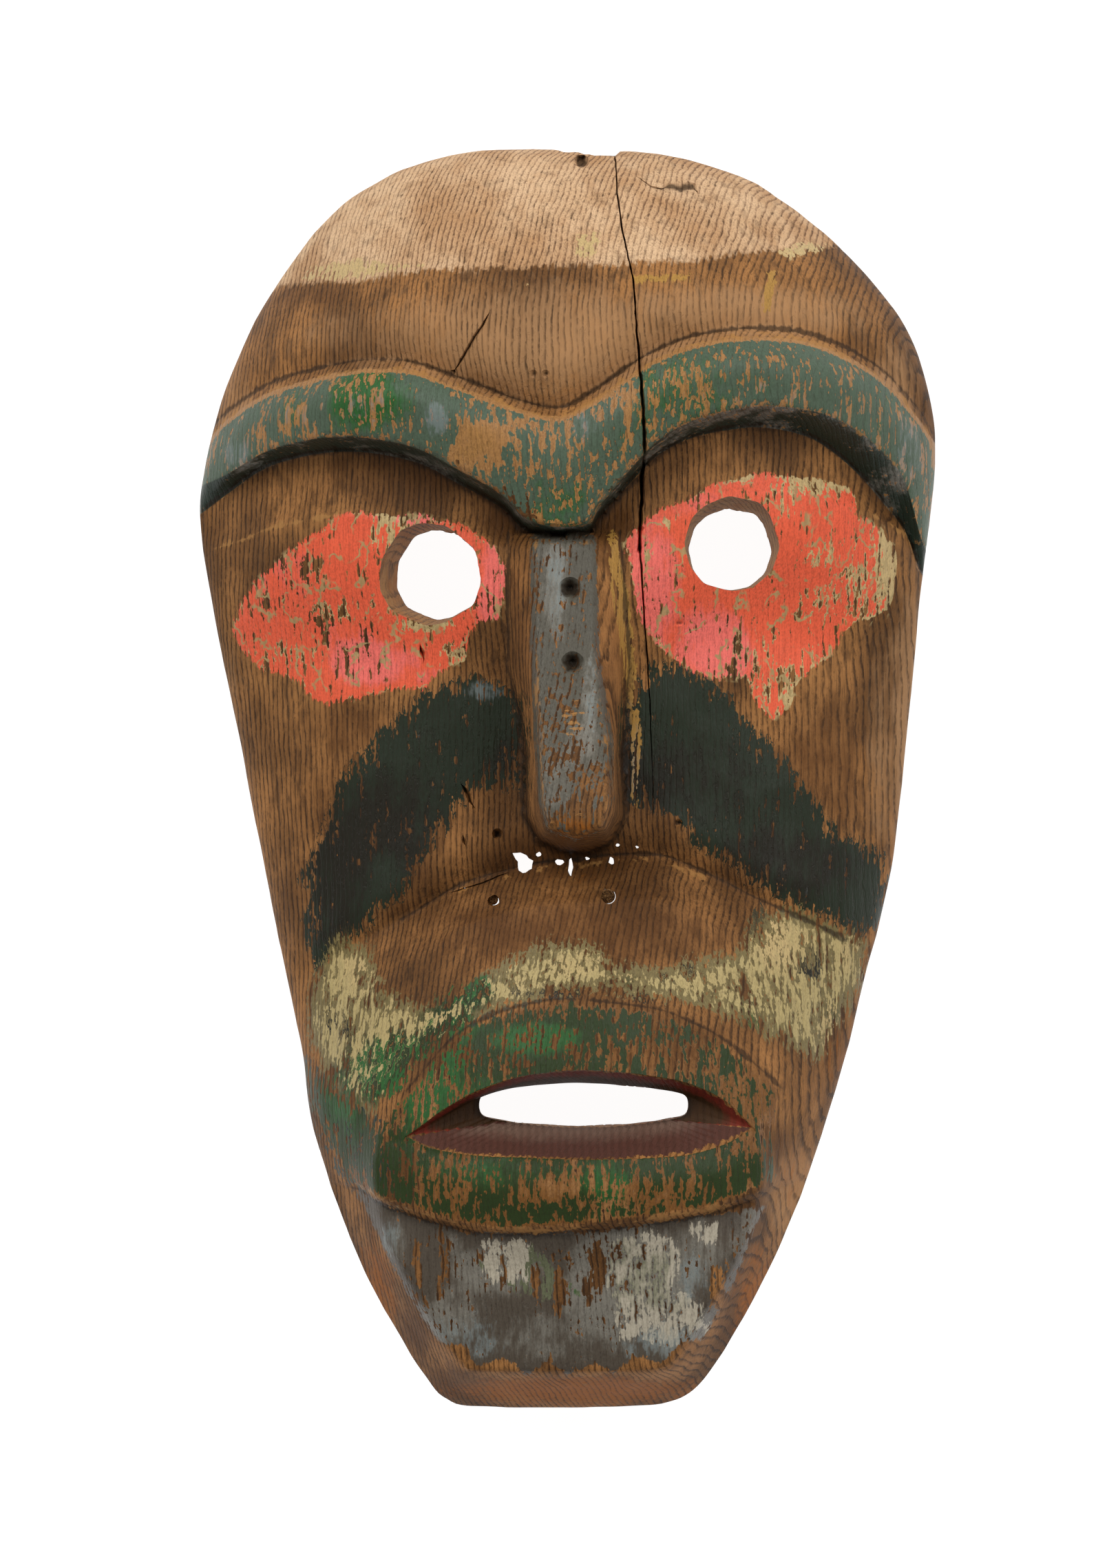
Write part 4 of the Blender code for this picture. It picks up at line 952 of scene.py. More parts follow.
def notched(loop):
    """The outline with the piece missing from its top edge."""
    x, y = loop.T
    start = ramp(NOTCH_FROM * ACROSS, (NOTCH_FROM + 0.8) * ACROSS, x)
    end = ramp(NOTCH_TO * ACROSS, (NOTCH_TO - 0.5) * ACROSS, x)
    ledge = 0.55 + 0.45 * ramp(4 * ACROSS, 5 * ACROSS, x)
    crumbs = np.array([noise.noise(Vector((v * 0.9, 0, 3))) for v in x])
    drop = NOTCH_DEPTH * start * end * (ledge + 0.25 * crumbs) * (y > 90 * UP)
    return np.column_stack([x, y - drop])


EYE_COUNT = 96
TORN_COUNT = 18
FRONT_RINGS = (0.06, 0.2, 0.5, 1.0, 1.7)
HOLLOW_RINGS = (0.15, 0.5, 1.1, 2.0)
SIDE_ROWS = 13
TUCK_ROWS = (0.35, 0.65, 0.88)
FUNNEL_ROWS = (0.04, 0.12, 0.25, 0.38, 0.5, 0.62, 0.75, 0.88)
SLOT_ROWS = (0.1, 0.4, 0.7)
EYE_ROWS = (0.03, 0.15, 0.3, 0.45, 0.6, 0.75, 0.9)
TORN_ROWS = (0.15, 0.5)


def carve(facet, hollow_facet):
    """The whole mask as one closed shape, still without its tool marks."""
    outer = notched(OUTER_EDGE)
    eyes, eye_backs = [], []
    for centre, back_centre, diameter, cuts, seed in (
        (LEFT_EYE, LEFT_EYE_BACK, LEFT_EYE_DIAMETER, 11, 3),
        (RIGHT_EYE, RIGHT_EYE_BACK, RIGHT_EYE_DIAMETER, 12, 8),
    ):
        eyes.append(knifed(drawn(centre), diameter, EYE_COUNT, cuts, seed))
        eye_backs.append(knifed(drawn(back_centre), diameter - 2 * EYE_HOLE_TAPER, EYE_COUNT, cuts, seed))
    torn = [
        knifed(drawn(LEFT_PEG), LEFT_PEG_HOLE_DIAMETER, TORN_COUNT, 7, 1, 0.1),
        knifed(drawn(RIGHT_PEG), RIGHT_PEG_HOLE_DIAMETER, TORN_COUNT, 7, 2, 0.06),
        drawn(LARGEST_BREAK),
    ]
    for number, (x, y, width, height) in enumerate(SMALL_BREAKS):
        torn.append(ragged(drawn((x, y)), width, height, 9, 40 + number))
    front_holes = eyes + torn + [mouth_opening(MOUTH_COUNT)]
    slot = mouth_slot(MOUTH_COUNT)
    back_holes = eye_backs + torn + [slot]

    splits = split_lines()
    lines = carved_lines(front_holes, facet)
    lines += [closed(FOOT_OF_NOSE, facet), closed(FACE_OF_NOSE, facet), chin_bevel()]
    for middle, halves, _ in splits:
        for line in (middle,) + lips_of(middle, halves):
            lines += clipped(line, outer, front_holes, 0.4)
    for x, y, radius, _ in PITS:
        lines.append(closed(circle(drawn((x, y)), 2 * radius, 10)))
    for pit in drawn(NAIL_PITS):
        for diameter in (NAIL_PIT_DIAMETER, NAIL_DIAMETER, NAIL_DIAMETER / 2):
            lines.append(closed(circle(pit, diameter, 20)))

    shape = Shape()
    plan, triangles, loops = sheet(outer, front_holes, lines, FRONT_RINGS, facet)
    height = front_height(plan)
    height = worn_smooth(height, triangles, sum(loops, []), 1)
    shape.add(np.column_stack([plan, height]), FRONT)
    shape.damage = damage(plan, splits)
    shape.faces += [list(t) for t in triangles]

    plan, triangles, back_loops = sheet(INNER_EDGE, back_holes, [], HOLLOW_RINGS, hollow_facet)
    back = shape.add(np.column_stack([plan, back_height(plan)]), HOLLOW, 30.0)
    shape.faces += [[back[i] for i in t[::-1]] for t in triangles]
    back_loops = [[back[i] for i in loop] for loop in back_loops]

    edge = loops[0]
    tucked = shape.add(np.column_stack([inset(outer, SIDE_TUCK), 0 * outer[:, 0]]), RIM, 30.0)
    start = np.array([shape.points[i] for i in edge])
    before = edge
    for share in np.linspace(0, 1, SIDE_ROWS + 1)[1:]:
        level = start[:, 2] + (SIDE_TUCK_HEIGHT - start[:, 2]) * share
        row = shape.add(np.column_stack([outer, level]), SIDE, start[:, 2] - level)
        shape.faces += band(row, before)
        before = row
    for share in TUCK_ROWS:
        places = inset(outer, SIDE_TUCK * share ** 2)
        level = SIDE_TUCK_HEIGHT * (1 - share)
        row = shape.add(np.column_stack([places, np.full(len(places), level)]), SIDE, start[:, 2] - level)
        shape.faces += band(row, before)
        before = row
    shape.faces += band(tucked, before)
    shape.faces += band(back_loops[0], tucked)

    depth = max(shape.points[i][2] for i in loops[-1]) - MOUTH_FUNNEL_DEPTH
    funnel = shape.add(np.column_stack([slot, np.full(len(slot), depth)]), MOUTH, MOUTH_FUNNEL_DEPTH)
    shape.wall(loops[-1], funnel, MOUTH, FUNNEL_ROWS)
    shape.wall(funnel, back_loops[-1], CUT, SLOT_ROWS)
    for number, (front_loop, back_loop) in enumerate(zip(loops[1:-1], back_loops[1:-1])):
        shape.wall(front_loop, back_loop, CUT, EYE_ROWS if number < 2 else TORN_ROWS)
    return shape


def neighbours(triangles, points):
    """Each point with each of its neighbours, and how many neighbours each point has."""
    pairs = np.vstack([triangles[:, [0, 1]], triangles[:, [1, 2]], triangles[:, [2, 0]]])
    near, far = np.vstack([pairs, pairs[:, ::-1]]).T
    return near, far, np.maximum(np.bincount(near, minlength=points), 1)


def worn_smooth(height, triangles, kept, rounds):
    """Heights eased towards those of their neighbours, as handling wears a carving, but not at its edges."""
    near, far, count = neighbours(triangles, len(height))
    free = np.ones(len(height), bool)
    free[kept] = False
    for _ in range(rounds):
        mean = np.bincount(near, height[far], len(height)) / count
        height = np.where(free, 0.5 * height + 0.5 * mean, height)
    return height


def normals_of(points, triangles):
    """The direction out of the surface at each point."""
    a, b, c = (points[triangles[:, i]] for i in range(3))
    facing = np.cross(b - a, c - a)
    total = np.zeros_like(points)
    for i in range(3):
        np.add.at(total, triangles[:, i], facing)
    return total / np.maximum(np.linalg.norm(total, axis=1), 1e-12)[:, None]


def scoops(points, size, seed):
    """How far each point stands up between the scoops of a gouge: 0 in their middles, 1 on the ridges."""
    scaled = (points + seed * 17.3) / size
    return np.array([min(noise.voronoi(Vector(p))[0][0], 1) ** 2 for p in scaled])


def ripple(points, size, seed):
    """Smooth noise from -1 to 1 whose lumps are about this size."""
    scaled = (points + seed * 31.7) / size
    return np.array([noise.noise(Vector(p)) for p in scaled])


def tool_marks(points, part, settings):
    """How far each point is moved out by tool marks, wear and the wood's own movement."""
    knife, gouge = settings.knife_marks / MM, settings.gouge_marks / MM
    move = 0.35 * ripple(points, 26, 1) + 0.12 * ripple(points * (1, 0.35, 1), 5, 2)
    face = np.isin(part, (FRONT, SIDE, CUT))
    hollow = part == HOLLOW
    move[face] += knife * (scoops(points[face] * (1, 0.7, 1), 8.5, 3) - 0.35)
    move[hollow] += gouge * (scoops(points[hollow] * (1, 0.45, 1), 11, 4) - 0.35)
    teeth = (part == MOUTH) & (points[:, 1] < -54 * UP) & (np.abs(points[:, 0] - 3) < 30)
    along = points[:, 0] + 0.5 * ripple(points, 4, 5)
    move += np.where(teeth, RIB_DEPTH * np.sin(2 * np.pi * along / RIB_SPACING), 0)
    return move * ramp(0.5, 4, points[:, 2])


def standing_out(points, triangles, normals, rounds):
    """How far each point stands in front of its surroundings, in millimetres."""
    near, far, count = neighbours(triangles, len(points))
    mean = points.copy()
    for _ in range(rounds):
        mean = np.column_stack([np.bincount(near, mean[far, i], len(points)) / count for i in range(3)])
    return ((points - mean) * normals).sum(axis=1)


def brow_band():
    """The brow's painted front and the dark underside below it."""
    top = LINES["brow top"] - (0, 0.5)
    under = LINES["brow bottom"].copy()
    under[:, 1] -= at(LINES["brow undercut"], under[:, 0]) * 0.95
    return np.vstack([top, under[::-1]])


def underside_band():
    """The steep underside of the brow."""
    edge = LINES["brow bottom"]
    under = edge.copy()
    under[:, 1] -= at(LINES["brow undercut"], under[:, 0]) + 0.6
    return np.vstack([edge, under[::-1]])


def lip_band():
    """The painted lips, from the upper lip's roll to the step under the lower one."""
    across = np.linspace(-50, 57, 60) * ACROSS
    upper = np.column_stack([across, at(LINES["lip roll"], across)])
    lower = np.column_stack([across, at(LINES["lip bottom"], across)])
    return np.vstack([upper, lower[::-1]])


def lowered(name, drop):
    """A line of the carving moved down by this much, which may vary across."""
    line = LINES[name]
    return line - np.column_stack([0 * line[:, 0], drop + 0 * line[:, 0]])


def between(line, start, end):
    """The part of a line that lies between two places across."""
    return line[(line[:, 0] > start * ACROSS) & (line[:, 0] < end * ACROSS)]


def worn_ridges():
    """Where handling has worn the carving's edges to a pale line."""
    left_of_nose = FACE_OF_NOSE[:5]
    return [
        lowered("brow top", -0.2),
        between(LINES["eyelid"], -96, -62),
        between(LINES["eyelid"], 82, 96),
        between(lowered("brow bottom", 0.2), 34, 90),
        between(lowered("crease", 1.6), -30, 40),
        between(lowered("lip bottom", 0.3), -57, 53),
        left_of_nose,
    ]


def shaded_grooves():
    """Where a dark line of painted shade runs along the foot of each step in the carving."""
    undercut = at(LINES["brow undercut"], LINES["brow bottom"][:, 0])
    return [
        lowered("brow top", -GROOVE_GAP * UP),
        lowered("brow bottom", undercut),
        between(LINES["crease"], -45, 75),
        between(lowered("lip bottom", STEP_REACH * UP), -58, 54),
        between(LINES["lip roll"], -44, 58),
        FOOT_OF_NOSE,
    ]


def painted_areas():
    """The outlines of each painted area."""
    areas = {name + "_area": [drawn(loop) for loop in loops] for name, loops in DRAWN_AREAS.items()}
    areas["brow_area"] = [brow_band()]
    areas["underside_area"] = [underside_band()]
    areas["nose_area"] = [FACE_OF_NOSE]
    areas["lip_area"].append(lip_band())
    return areas


def areas_and_spots(points, part, behind):
    """For each area, how far inside its outline each point lies, less how far it is behind the face; and
    for each kind of spot, how strongly it shows."""
    plan = points[:, :2]
    face = np.isin(part, (FRONT, SIDE, CUT))
    values = {}
    for name, loops in painted_areas().items():
        reach = np.full(len(points), -30.0)
        for loop in loops:
            reach[face] = np.maximum(reach[face], within(plan[face], loop))
        values[name] = np.clip(reach - np.where(face, behind, 0), -30, 30)
    for name, spots in SPOTS.items():
        shown = np.zeros(len(points))
        for x, y, across, up, strength in spots:
            away = (((plan - drawn((x, y))) / (across, up)) ** 2).sum(axis=1)
            shown = np.maximum(shown, strength * np.exp(-away ** 1.5))
        values[name + "_spots"] = np.where(face, shown, 0)
    front = part == FRONT
    # Distances to the worn ridges, and to the foot of each step, where a dark line of painted shade is laid
    for name, lines in (("ridge_line", worn_ridges()), ("groove_line", shaded_grooves())):
        away = np.full(len(points), 30.0)
        for line in lines:
            away[front] = np.minimum(away[front], distance(plan[front], line))
        values[name] = away
    bleached = plan[:, 1] - at(drawn(BLEACH_LINE), plan[:, 0])
    values["bleached_area"] = np.clip(bleached - np.where(part == HOLLOW, 60, 0), -30, 30)
    upper = plan[:, 1] > at(drawn(MOUTH_MIDDLE), plan[:, 0])
    values["upper_mouth"] = np.where((part == MOUTH) & upper, behind, -6.0)
    values["lower_mouth"] = np.where((part == MOUTH) & ~upper, behind, -6.0)
    values["unpainted"] = np.isin(part, (CUT, RIM, HOLLOW)).astype(float)
    return values


def mesh_of(name, points, faces):
    """A mesh with its faces pointing outwards, smooth but for its sharp edges."""
    mesh = bpy.data.meshes.new(name)
    mesh.from_pydata([tuple(p) for p in points], [], faces)
    mesh.validate()
    mesh.shade_smooth()
    mesh.set_sharp_from_angle(angle=np.radians(50))
    return mesh


def add_piece(name, mesh, material, slot, *nodes):
    """Put a finished piece in the scene, in place of the nodes that it stands for."""
    piece = bpy.data.objects.new(name, mesh)
    bpy.context.collection.objects.link(piece)
    mesh.materials.clear()
    mesh.materials.append(material)
    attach(piece, "root")
    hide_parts(*nodes)
    return piece


def store(mesh, name, values):
    """Keep one value for each point under this name."""
    attribute = mesh.attributes.new(name, "FLOAT", "POINT")
    attribute.data.foreach_set("value", np.asarray(values, np.float32))


def make_mask(settings, paint):
    """The mask's mesh, with its painted areas, its wear, and the painted shade of its hollows and cracks kept
    on its points.
    """
    shape = carve(settings.face_facet / MM, settings.hollow_facet / MM)
    points = np.array(shape.points)
    part = np.array(shape.part)
    behind = np.array(shape.behind, float)
    triangles = np.array([[f[0], f[i], f[i + 1]] for f in shape.faces for i in range(1, len(f) - 1)])
    normals = normals_of(points, triangles)
    points = points + normals * tool_marks(points, part, settings)[:, None]
    points[:, :2] = np.clip(points[:, :2], (-WIDTH / 2, -HEIGHT / 2), (WIDTH / 2, HEIGHT / 2))
    points[:, 2] = np.maximum(points[:, 2], 0)
    normals = normals_of(points, triangles)
    fine = standing_out(points, triangles, normals, 2)
    broad = standing_out(points, triangles, normals, 40)
    points[:len(shape.damage), 2] -= shape.damage

    used = np.unique(triangles)
    number = np.full(len(points), -1)
    number[used] = np.arange(len(used))
    mesh = mesh_of("mask_carving", points[used] * MM, [[number[i] for i in f] for f in shape.faces])
    for name, values in areas_and_spots(points, part, behind).items():
        store(mesh, name, values[used])
    cracked = np.zeros(len(points))
    cracked[:len(shape.damage)] = np.clip(shape.damage, 0, 1)
    store(mesh, "worn", np.clip((fine - 0.14) / 0.4, 0, 0.75)[used])
    # Painted shade: darker where the surface lies below its surroundings, in hollows, creases and cracks
    store(mesh, "grime", np.clip(-fine / 1.1 - broad / 22.0 + cracked, 0, 1)[used])
    material = painted_wood("painted_softwood", paint)
    return add_piece("carved_mask", mesh, material, "carved_wood", "mask")


def add_node(tree, kind, *values, links=(), **settings):
    """Add a node with its settings. Its inputs take values or other nodes' outputs, in order or by name."""
    made = tree.nodes.new(kind)
    for name, value in settings.items():
        setattr(made, name, value)
    sockets = [socket for socket in made.inputs if socket.enabled]
    pairs = list(zip(sockets, values)) + [(made.inputs[key], value) for key, value in dict(links).items()]
    for socket, value in pairs:
        if isinstance(value, bpy.types.Node):
            value = next(output for output in value.outputs if output.enabled)
        if isinstance(value, bpy.types.NodeSocket):
            tree.links.new(value, socket)
        else:
            socket.default_value = value
    return made


TIMES = {"operation": "MULTIPLY"}
PLUS = {"operation": "ADD"}
MINUS = {"operation": "SUBTRACT"}
TIMES_PLUS = {"operation": "MULTIPLY_ADD"}
COLOURS = {"data_type": "RGBA"}
SMOOTH = {"interpolation_type": "SMOOTHSTEP"}

# How far the mask's middle lies from the pith of its tree, in millimetres
FROM_PITH = (300, 0, 40)

# Noises: the size of their lumps in millimetres, how far they are drawn out along the grain, their detail
NOISES = {
    "cloud": (22, 1.6, 3),
    "blotch": (4.5, 1.5, 4),
    "streak": (1.1, 8, 3),
    "speck": (0.8, 1.8, 3),
    "fibre": (0.28, 22, 3),
    "wander": (30, 3, 2),
    "waver": (4, 1.5, 2),
    "vein": (7, 1.3, 3),
    "grit": (0.35, 1.6, 2),
    "scuff": (2.2, 3.5, 4),
    "shaving": (6, 0.15, 4),
}

# The mix of noises by which paint wears off, and the one that tears the edges of each coat
RUBBING = {"streak": 1.3, "blotch": 0.5, "speck": 0.8, "scuff": 1.0, "cloud": 0.5}
TEARING = {"streak": 1.6, "blotch": 1.8, "speck": 1.0, "scuff": 1.6}

# What else the painted wood reads from the mask's points, and all that its layers share
OTHER_VALUES = ("worn", "grime", "unpainted", "bleached_area", "upper_mouth", "lower_mouth", "ridge_line",
                "groove_line")
Ground = namedtuple("Ground", "tree noises late kept colours")

# Each coat of paint: the area that it fills; its colour, the colour that it varies to and the spots that
# bring this out; the spots where it has gone and those that it is kept to; how far it spreads past its
# outline, how ragged and how feathered its edge is, in millimetres; and how much of it still holds
Coat = namedtuple("Coat", "area first second tinted gone kept spread torn feather hold")
COATS = (
    Coat("brow_area", "fresh", "rubbed", "bare", "stain", None, 0.6, 0.8, 1.0, 1.3),
    Coat("lip_area", "fresh_lip", "fresh", "bare", "stain", None, -0.6, 1.2, 2.0, 0.9),
    Coat("side_area", "dark_green", "charcoal", "dark", "bare", None, 2.0, 3.0, 9.0, 0.72),
    Coat("cheek_area", "deep_green", "black", "dark", "bare", None, 1.8, 6.0, 10.0, 0.86),
    Coat("streak_area", "ochre", "chalk", "pale", "bare", None, 0.3, 1.4, 2.0, 0.64),
    Coat("eye_area", "primer", "khaki", "dark", "bare", None, -0.6, 3.0, 1.6, 0.72),
    # The pink spots give faded red, and below each eye a painted highlight
    Coat("eye_area", "red", "pink", "pink", "primer", None, 0.1, 2.6, 3.0, 0.73),
    Coat("brow_area", "green", "bright_green", "green", "bare", None, 0.0, 0.5, 0.8, 0.68),
    # On the brow's underside and on the nose, the painted sheen spots also bring out the slate
    Coat("underside_area", "dark_green", "slate", "haze", "primer", None, 0.1, 0.2, 0.3, 0.90),
    Coat("nose_area", "nose_black", "slate", "haze", "bare", None, 1.6, 0.6, 1.2, 0.74),
    Coat("band_area", "khaki", "olive", "green", "primer", None, 0.2, 5.0, 7.0, 0.76),
    Coat("band_area", "cream", "primer", "pale", "primer", None, 0.0, 5.0, 6.0, 0.52),
    Coat("band_area", "cream", "primer", "pale", "dark", "pale", 0.6, 3.0, 4.0, 0.56),
    Coat("band_area", "bright_green", "olive", "dark", "primer", "green", 1.0, 2.4, 2.5, 0.50),
    Coat("band_area", "black", "khaki", "pale", "primer", "dark", 2.0, 2.4, 0.5, 0.58),
    Coat("lip_area", "olive", "bright_green", "green", "bare", None, 0.4, 1.0, 3.0, 0.60),
    Coat("chin_area", "charcoal", "slate", "pale", "bare", None, 0.4, 1.6, 2.2, 0.80),
    Coat("sage_area", "sage", "bright_green", "green", "bare", None, 0.0, 5.0, 4.0, 0.64),
    Coat("chalk_area", "chalk", "sage", "green", "bare", None, 1.2, 5.0, 4.0, 0.66),
    Coat("remains_area", "primer", "chalk", "pale", "bare", None, 1.0, 3.4, 3.0, 0.58),
)


def blank_material(name):
    """A new material: itself, its tree, its shader node, and places on the mask in millimetres."""
    material = bpy.data.materials.new(name)
    material.use_nodes = True
    tree = material.node_tree
    coordinates = add_node(tree, "ShaderNodeTexCoord").outputs["Object"]
    place = add_node(tree, "ShaderNodeVectorMath", coordinates, 1 / MM, operation="SCALE")
    return material, tree, tree.nodes["Principled BSDF"], place


def wood_noises(tree, place):
    """Every noise that the wood and its paint share."""
    noises = {}
    for seed, (name, (size, stretch, detail)) in enumerate(NOISES.items()):
        scale = (1 / size, 1 / (size * stretch), 1 / size)
        shift = (7 * seed, 5 * seed, 3 * seed)
        moved = add_node(tree, "ShaderNodeVectorMath", place, scale, shift, **TIMES_PLUS)
        noises[name] = add_node(tree, "ShaderNodeTexNoise", moved, 1.0, detail).outputs[0]
    return noises


def weighted(tree, terms, start):
    """The sum of values, each times its weight."""
    total = start
    for value, weight in terms:
        total = add_node(tree, "ShaderNodeMath", value, weight, total, **TIMES_PLUS)
    return total


def mixed(tree, noises, shares, middle, *more):
    """Noises mixed in these shares, so that they vary about this middle, and more values added."""
    terms = [(noises[name], share) for name, share in shares.items()] + list(more)
    return weighted(tree, terms, middle - 0.5 * sum(shares.values()))


def growth_rings(tree, place, noises, paint):
    """The late wood of each growth ring, as cylinders round a pith that lies off to the left and behind."""
    add = partial(add_node, tree)
    from_pith = add("ShaderNodeVectorMath", place, (1, 0.05, 1), FROM_PITH, **TIMES_PLUS)
    radius = add("ShaderNodeVectorMath", from_pith, operation="LENGTH")
    terms = ((radius, MM / paint.ring_spacing), (noises["wander"], 5.0), (noises["waver"], 0.9))
    count = weighted(tree, terms, 0.0)
    ring = add("ShaderNodeMath", count, operation="FRACT")
    rise = add("ShaderNodeMapRange", ring, 0.5, 0.85, **SMOOTH)
    fall = add("ShaderNodeMapRange", ring, 1.0, 0.9, **SMOOTH)
    late = add("ShaderNodeMath", rise, fall, **TIMES)
    broken = add("ShaderNodeMapRange", noises["speck"], 0.3, 0.6, 0.25, 1.0, **SMOOTH)
    late = add("ShaderNodeMath", late, broken, **TIMES)
    uneven = add("ShaderNodeMapRange", noises["cloud"], 0.36, 0.6, 0.62, 1.0, **SMOOTH)
    return add("ShaderNodeMath", late, uneven, **TIMES)


def layered(tree, under, share, bounds, colour):
    """A colour laid over the surface as a value goes from the first bound to the second. The last two bounds
    are how much of the colour shows at each."""
    share = add_node(tree, "ShaderNodeMapRange", share, *bounds, **SMOOTH)
    return add_node(tree, "ShaderNodeMix", share, under, colour, **COLOURS)


def bare_wood(ground, colours, stain):
    """Wood with its growth rings, its fibres and its stains."""
    lay = partial(layered, ground.tree)
    noises = ground.noises
    light, dark, ring, dirt = (ground.colours[key] for key in colours)
    wood = lay(light, noises["cloud"], (0.36, 0.66, 0.0, stain), dark)
    wood = lay(wood, noises["blotch"], (0.42, 0.72, 0.0, 0.55 * stain), dark)
    lined = add_node(ground.tree, "ShaderNodeMath", ground.late, 0.92, **TIMES)
    wood = add_node(ground.tree, "ShaderNodeMix", lined, wood, ring, **COLOURS)
    wood = lay(wood, noises["fibre"], (0.46, 0.75, 0.0, 0.55), ring)
    wood = lay(wood, noises["scuff"], (0.55, 0.7, 0.0, 0.45 * stain), dirt)
    wood = lay(wood, noises["grit"], (0.55, 0.75, 0.0, 0.4), dirt)
    return lay(wood, noises["streak"], (0.64, 0.78, 0.0, 0.6), dirt)


def aged_wood(ground, painted):
    """The bare wood of the face, stained, faded and warm in places, with painted shade under the brow and the
    nose and painted light on the mask's steep sides, and bleached over the forehead. Gives its colour and
    where it is bleached."""
    tree, noises, kept, colours = ground.tree, ground.noises, ground.kept, ground.colours
    add = partial(add_node, tree)
    surface = bare_wood(ground, ("wood", "wood_stain", "wood_ring", "dirt"), 1.0)
    for key, blotch, streak, bounds, colour in (
        # The stain row also lays painted shade under the brow and the nose and along the chin's lower edge
        ("stain_spots", 0.6, 0.4, (0.6, 1.3, 0.0, 0.8), "stain"),
        # This row also lays painted light on the mask's steep sides
        ("fade_spots", 0.6, 0.6, (0.7, 1.4, 0.0, 0.75), "faded"),
        ("warm_spots", 0.5, 1.0, (1.2, 1.8, 0.0, 0.8), "warm"),
    ):
        share = weighted(tree, ((noises["blotch"], blotch), (noises["streak"], streak)), kept[key])
        surface = layered(tree, surface, share, bounds, colours[colour])
    lined = add("ShaderNodeMath", ground.late, 0.65, **TIMES)
    surface = add("ShaderNodeMix", lined, surface, colours["wood_ring"], **COLOURS)
    pale = bare_wood(ground, ("bleached", "wood", "bleached_ring", "wood_ring"), 0.6)
    line = weighted(tree, ((noises["streak"], 5.0), (noises["blotch"], 2.0)), kept["bleached_area"])
    bleached = add("ShaderNodeMapRange", line, 2.9, 4.3, **SMOOTH)
    bleached = add("ShaderNodeMath", bleached, painted, **TIMES)
    return add("ShaderNodeMix", bleached, surface, pale, **COLOURS), bleached


def laid_coat(ground, coat, surface, rub, tatter):
    """One coat of paint over the surface. Gives the new surface and where the coat still covers it."""
    tree, noises, kept, colours = ground.tree, ground.noises, ground.kept, ground.colours
    add = partial(add_node, tree)
    reach = weighted(tree, ((tatter, coat.torn),), kept[coat.area])
    reach = add("ShaderNodeMath", reach, coat.spread, **PLUS)
    laid = add("ShaderNodeMapRange", reach, -0.1, 0.25, **SMOOTH)
    thin = add("ShaderNodeMapRange", reach, 0.0, coat.feather, 0.32, 0.0, **SMOOTH)
    wear = weighted(tree, ((kept[coat.gone + "_spots"], 1.0), (thin, 1.0)), rub)
    holds = add("ShaderNodeMapRange", wear, coat.hold + 0.03, coat.hold - 0.03, **SMOOTH)
    cover = add("ShaderNodeMath", laid, holds, **TIMES)
    if coat.kept:
        shown = weighted(tree, ((tatter, 1.3),), kept[coat.kept + "_spots"])
        shown = add("ShaderNodeMapRange", shown, 0.38, 0.52, **SMOOTH)
        cover = add("ShaderNodeMath", cover, shown, **TIMES)
    varied = add("ShaderNodeMapRange", noises["cloud"], 0.48, 0.66, 0.0, 0.5, **SMOOTH)
    varied = weighted(tree, ((kept[coat.tinted + "_spots"], 1.0), (tatter, 0.45)), varied)
    tint = layered(tree, colours[coat.first], varied, (0.15, 0.75), colours[coat.second])
    lined = weighted(tree, ((ground.late, 0.2), (noises["fibre"], 0.8), (noises["grit"], 0.7)), -0.66)
    lined = add("ShaderNodeMath", lined, 0.0, operation="MAXIMUM")
    tint = add("ShaderNodeMix", lined, tint, colours["dirt"], **COLOURS)
    return add("ShaderNodeMix", cover, surface, tint, **COLOURS), cover


def blemishes(ground, surface, thickness, tatter):
    """A painted bluish sheen, a highlight laid on the glossy paint, a knife's strokes on the nose, flakes off
    the red along its fine cracks, and slits where the late wood has split."""
    tree, noises, kept, colours = ground.tree, ground.noises, ground.kept, ground.colours
    add = partial(add_node, tree)
    # Painted sheen: a bluish highlight colour mixed over the paint
    sheen_share = weighted(tree, ((tatter, 0.6), (noises["fibre"], 0.8)), kept["haze_spots"])
    sheen_share = add("ShaderNodeMapRange", sheen_share, 0.75, 1.25, 0.0, 0.6, **SMOOTH)
    sheen_share = add("ShaderNodeMath", sheen_share, thickness, **TIMES)
    surface = add("ShaderNodeMix", sheen_share, surface, colours["haze"], **COLOURS)
    shaved = weighted(tree, ((noises["shaving"], 1.0), (noises["speck"], 0.4)), kept["shaved_spots"])
    surface = layered(tree, surface, shaved, (1.72, 1.8, 0.0, 0.8), colours["rubbed"])

    vein = add("ShaderNodeMath", noises["vein"], 0.5, **MINUS)
    vein = add("ShaderNodeMath", vein, operation="ABSOLUTE")
    vein = add("ShaderNodeMapRange", vein, 0.026, 0.008, **SMOOTH)
    patchy = add("ShaderNodeMapRange", noises["blotch"], 0.44, 0.54, 0.0, 0.9, **SMOOTH)
    flaked = add("ShaderNodeMath", vein, patchy, **TIMES)
    around = add("ShaderNodeMapRange", kept["eye_area"], 0.0, 1.0)
    flaked = add("ShaderNodeMath", flaked, around, **TIMES)
    flakes = add("ShaderNodeMix", noises["streak"], colours["khaki"], colours["primer"], **COLOURS)
    surface = add("ShaderNodeMix", flaked, surface, flakes, **COLOURS)

    slits = add("ShaderNodeMapRange", noises["streak"], 0.54, 0.66, 0.0, 0.62, **SMOOTH)
    slits = add("ShaderNodeMath", slits, ground.late, **TIMES)
    shut = add("ShaderNodeMapRange", thickness, 0.0, 1.0, 1.0, 0.35)
    slits = add("ShaderNodeMath", slits, shut, **TIMES)
    return add("ShaderNodeMix", slits, surface, colours["dirt"], **COLOURS)


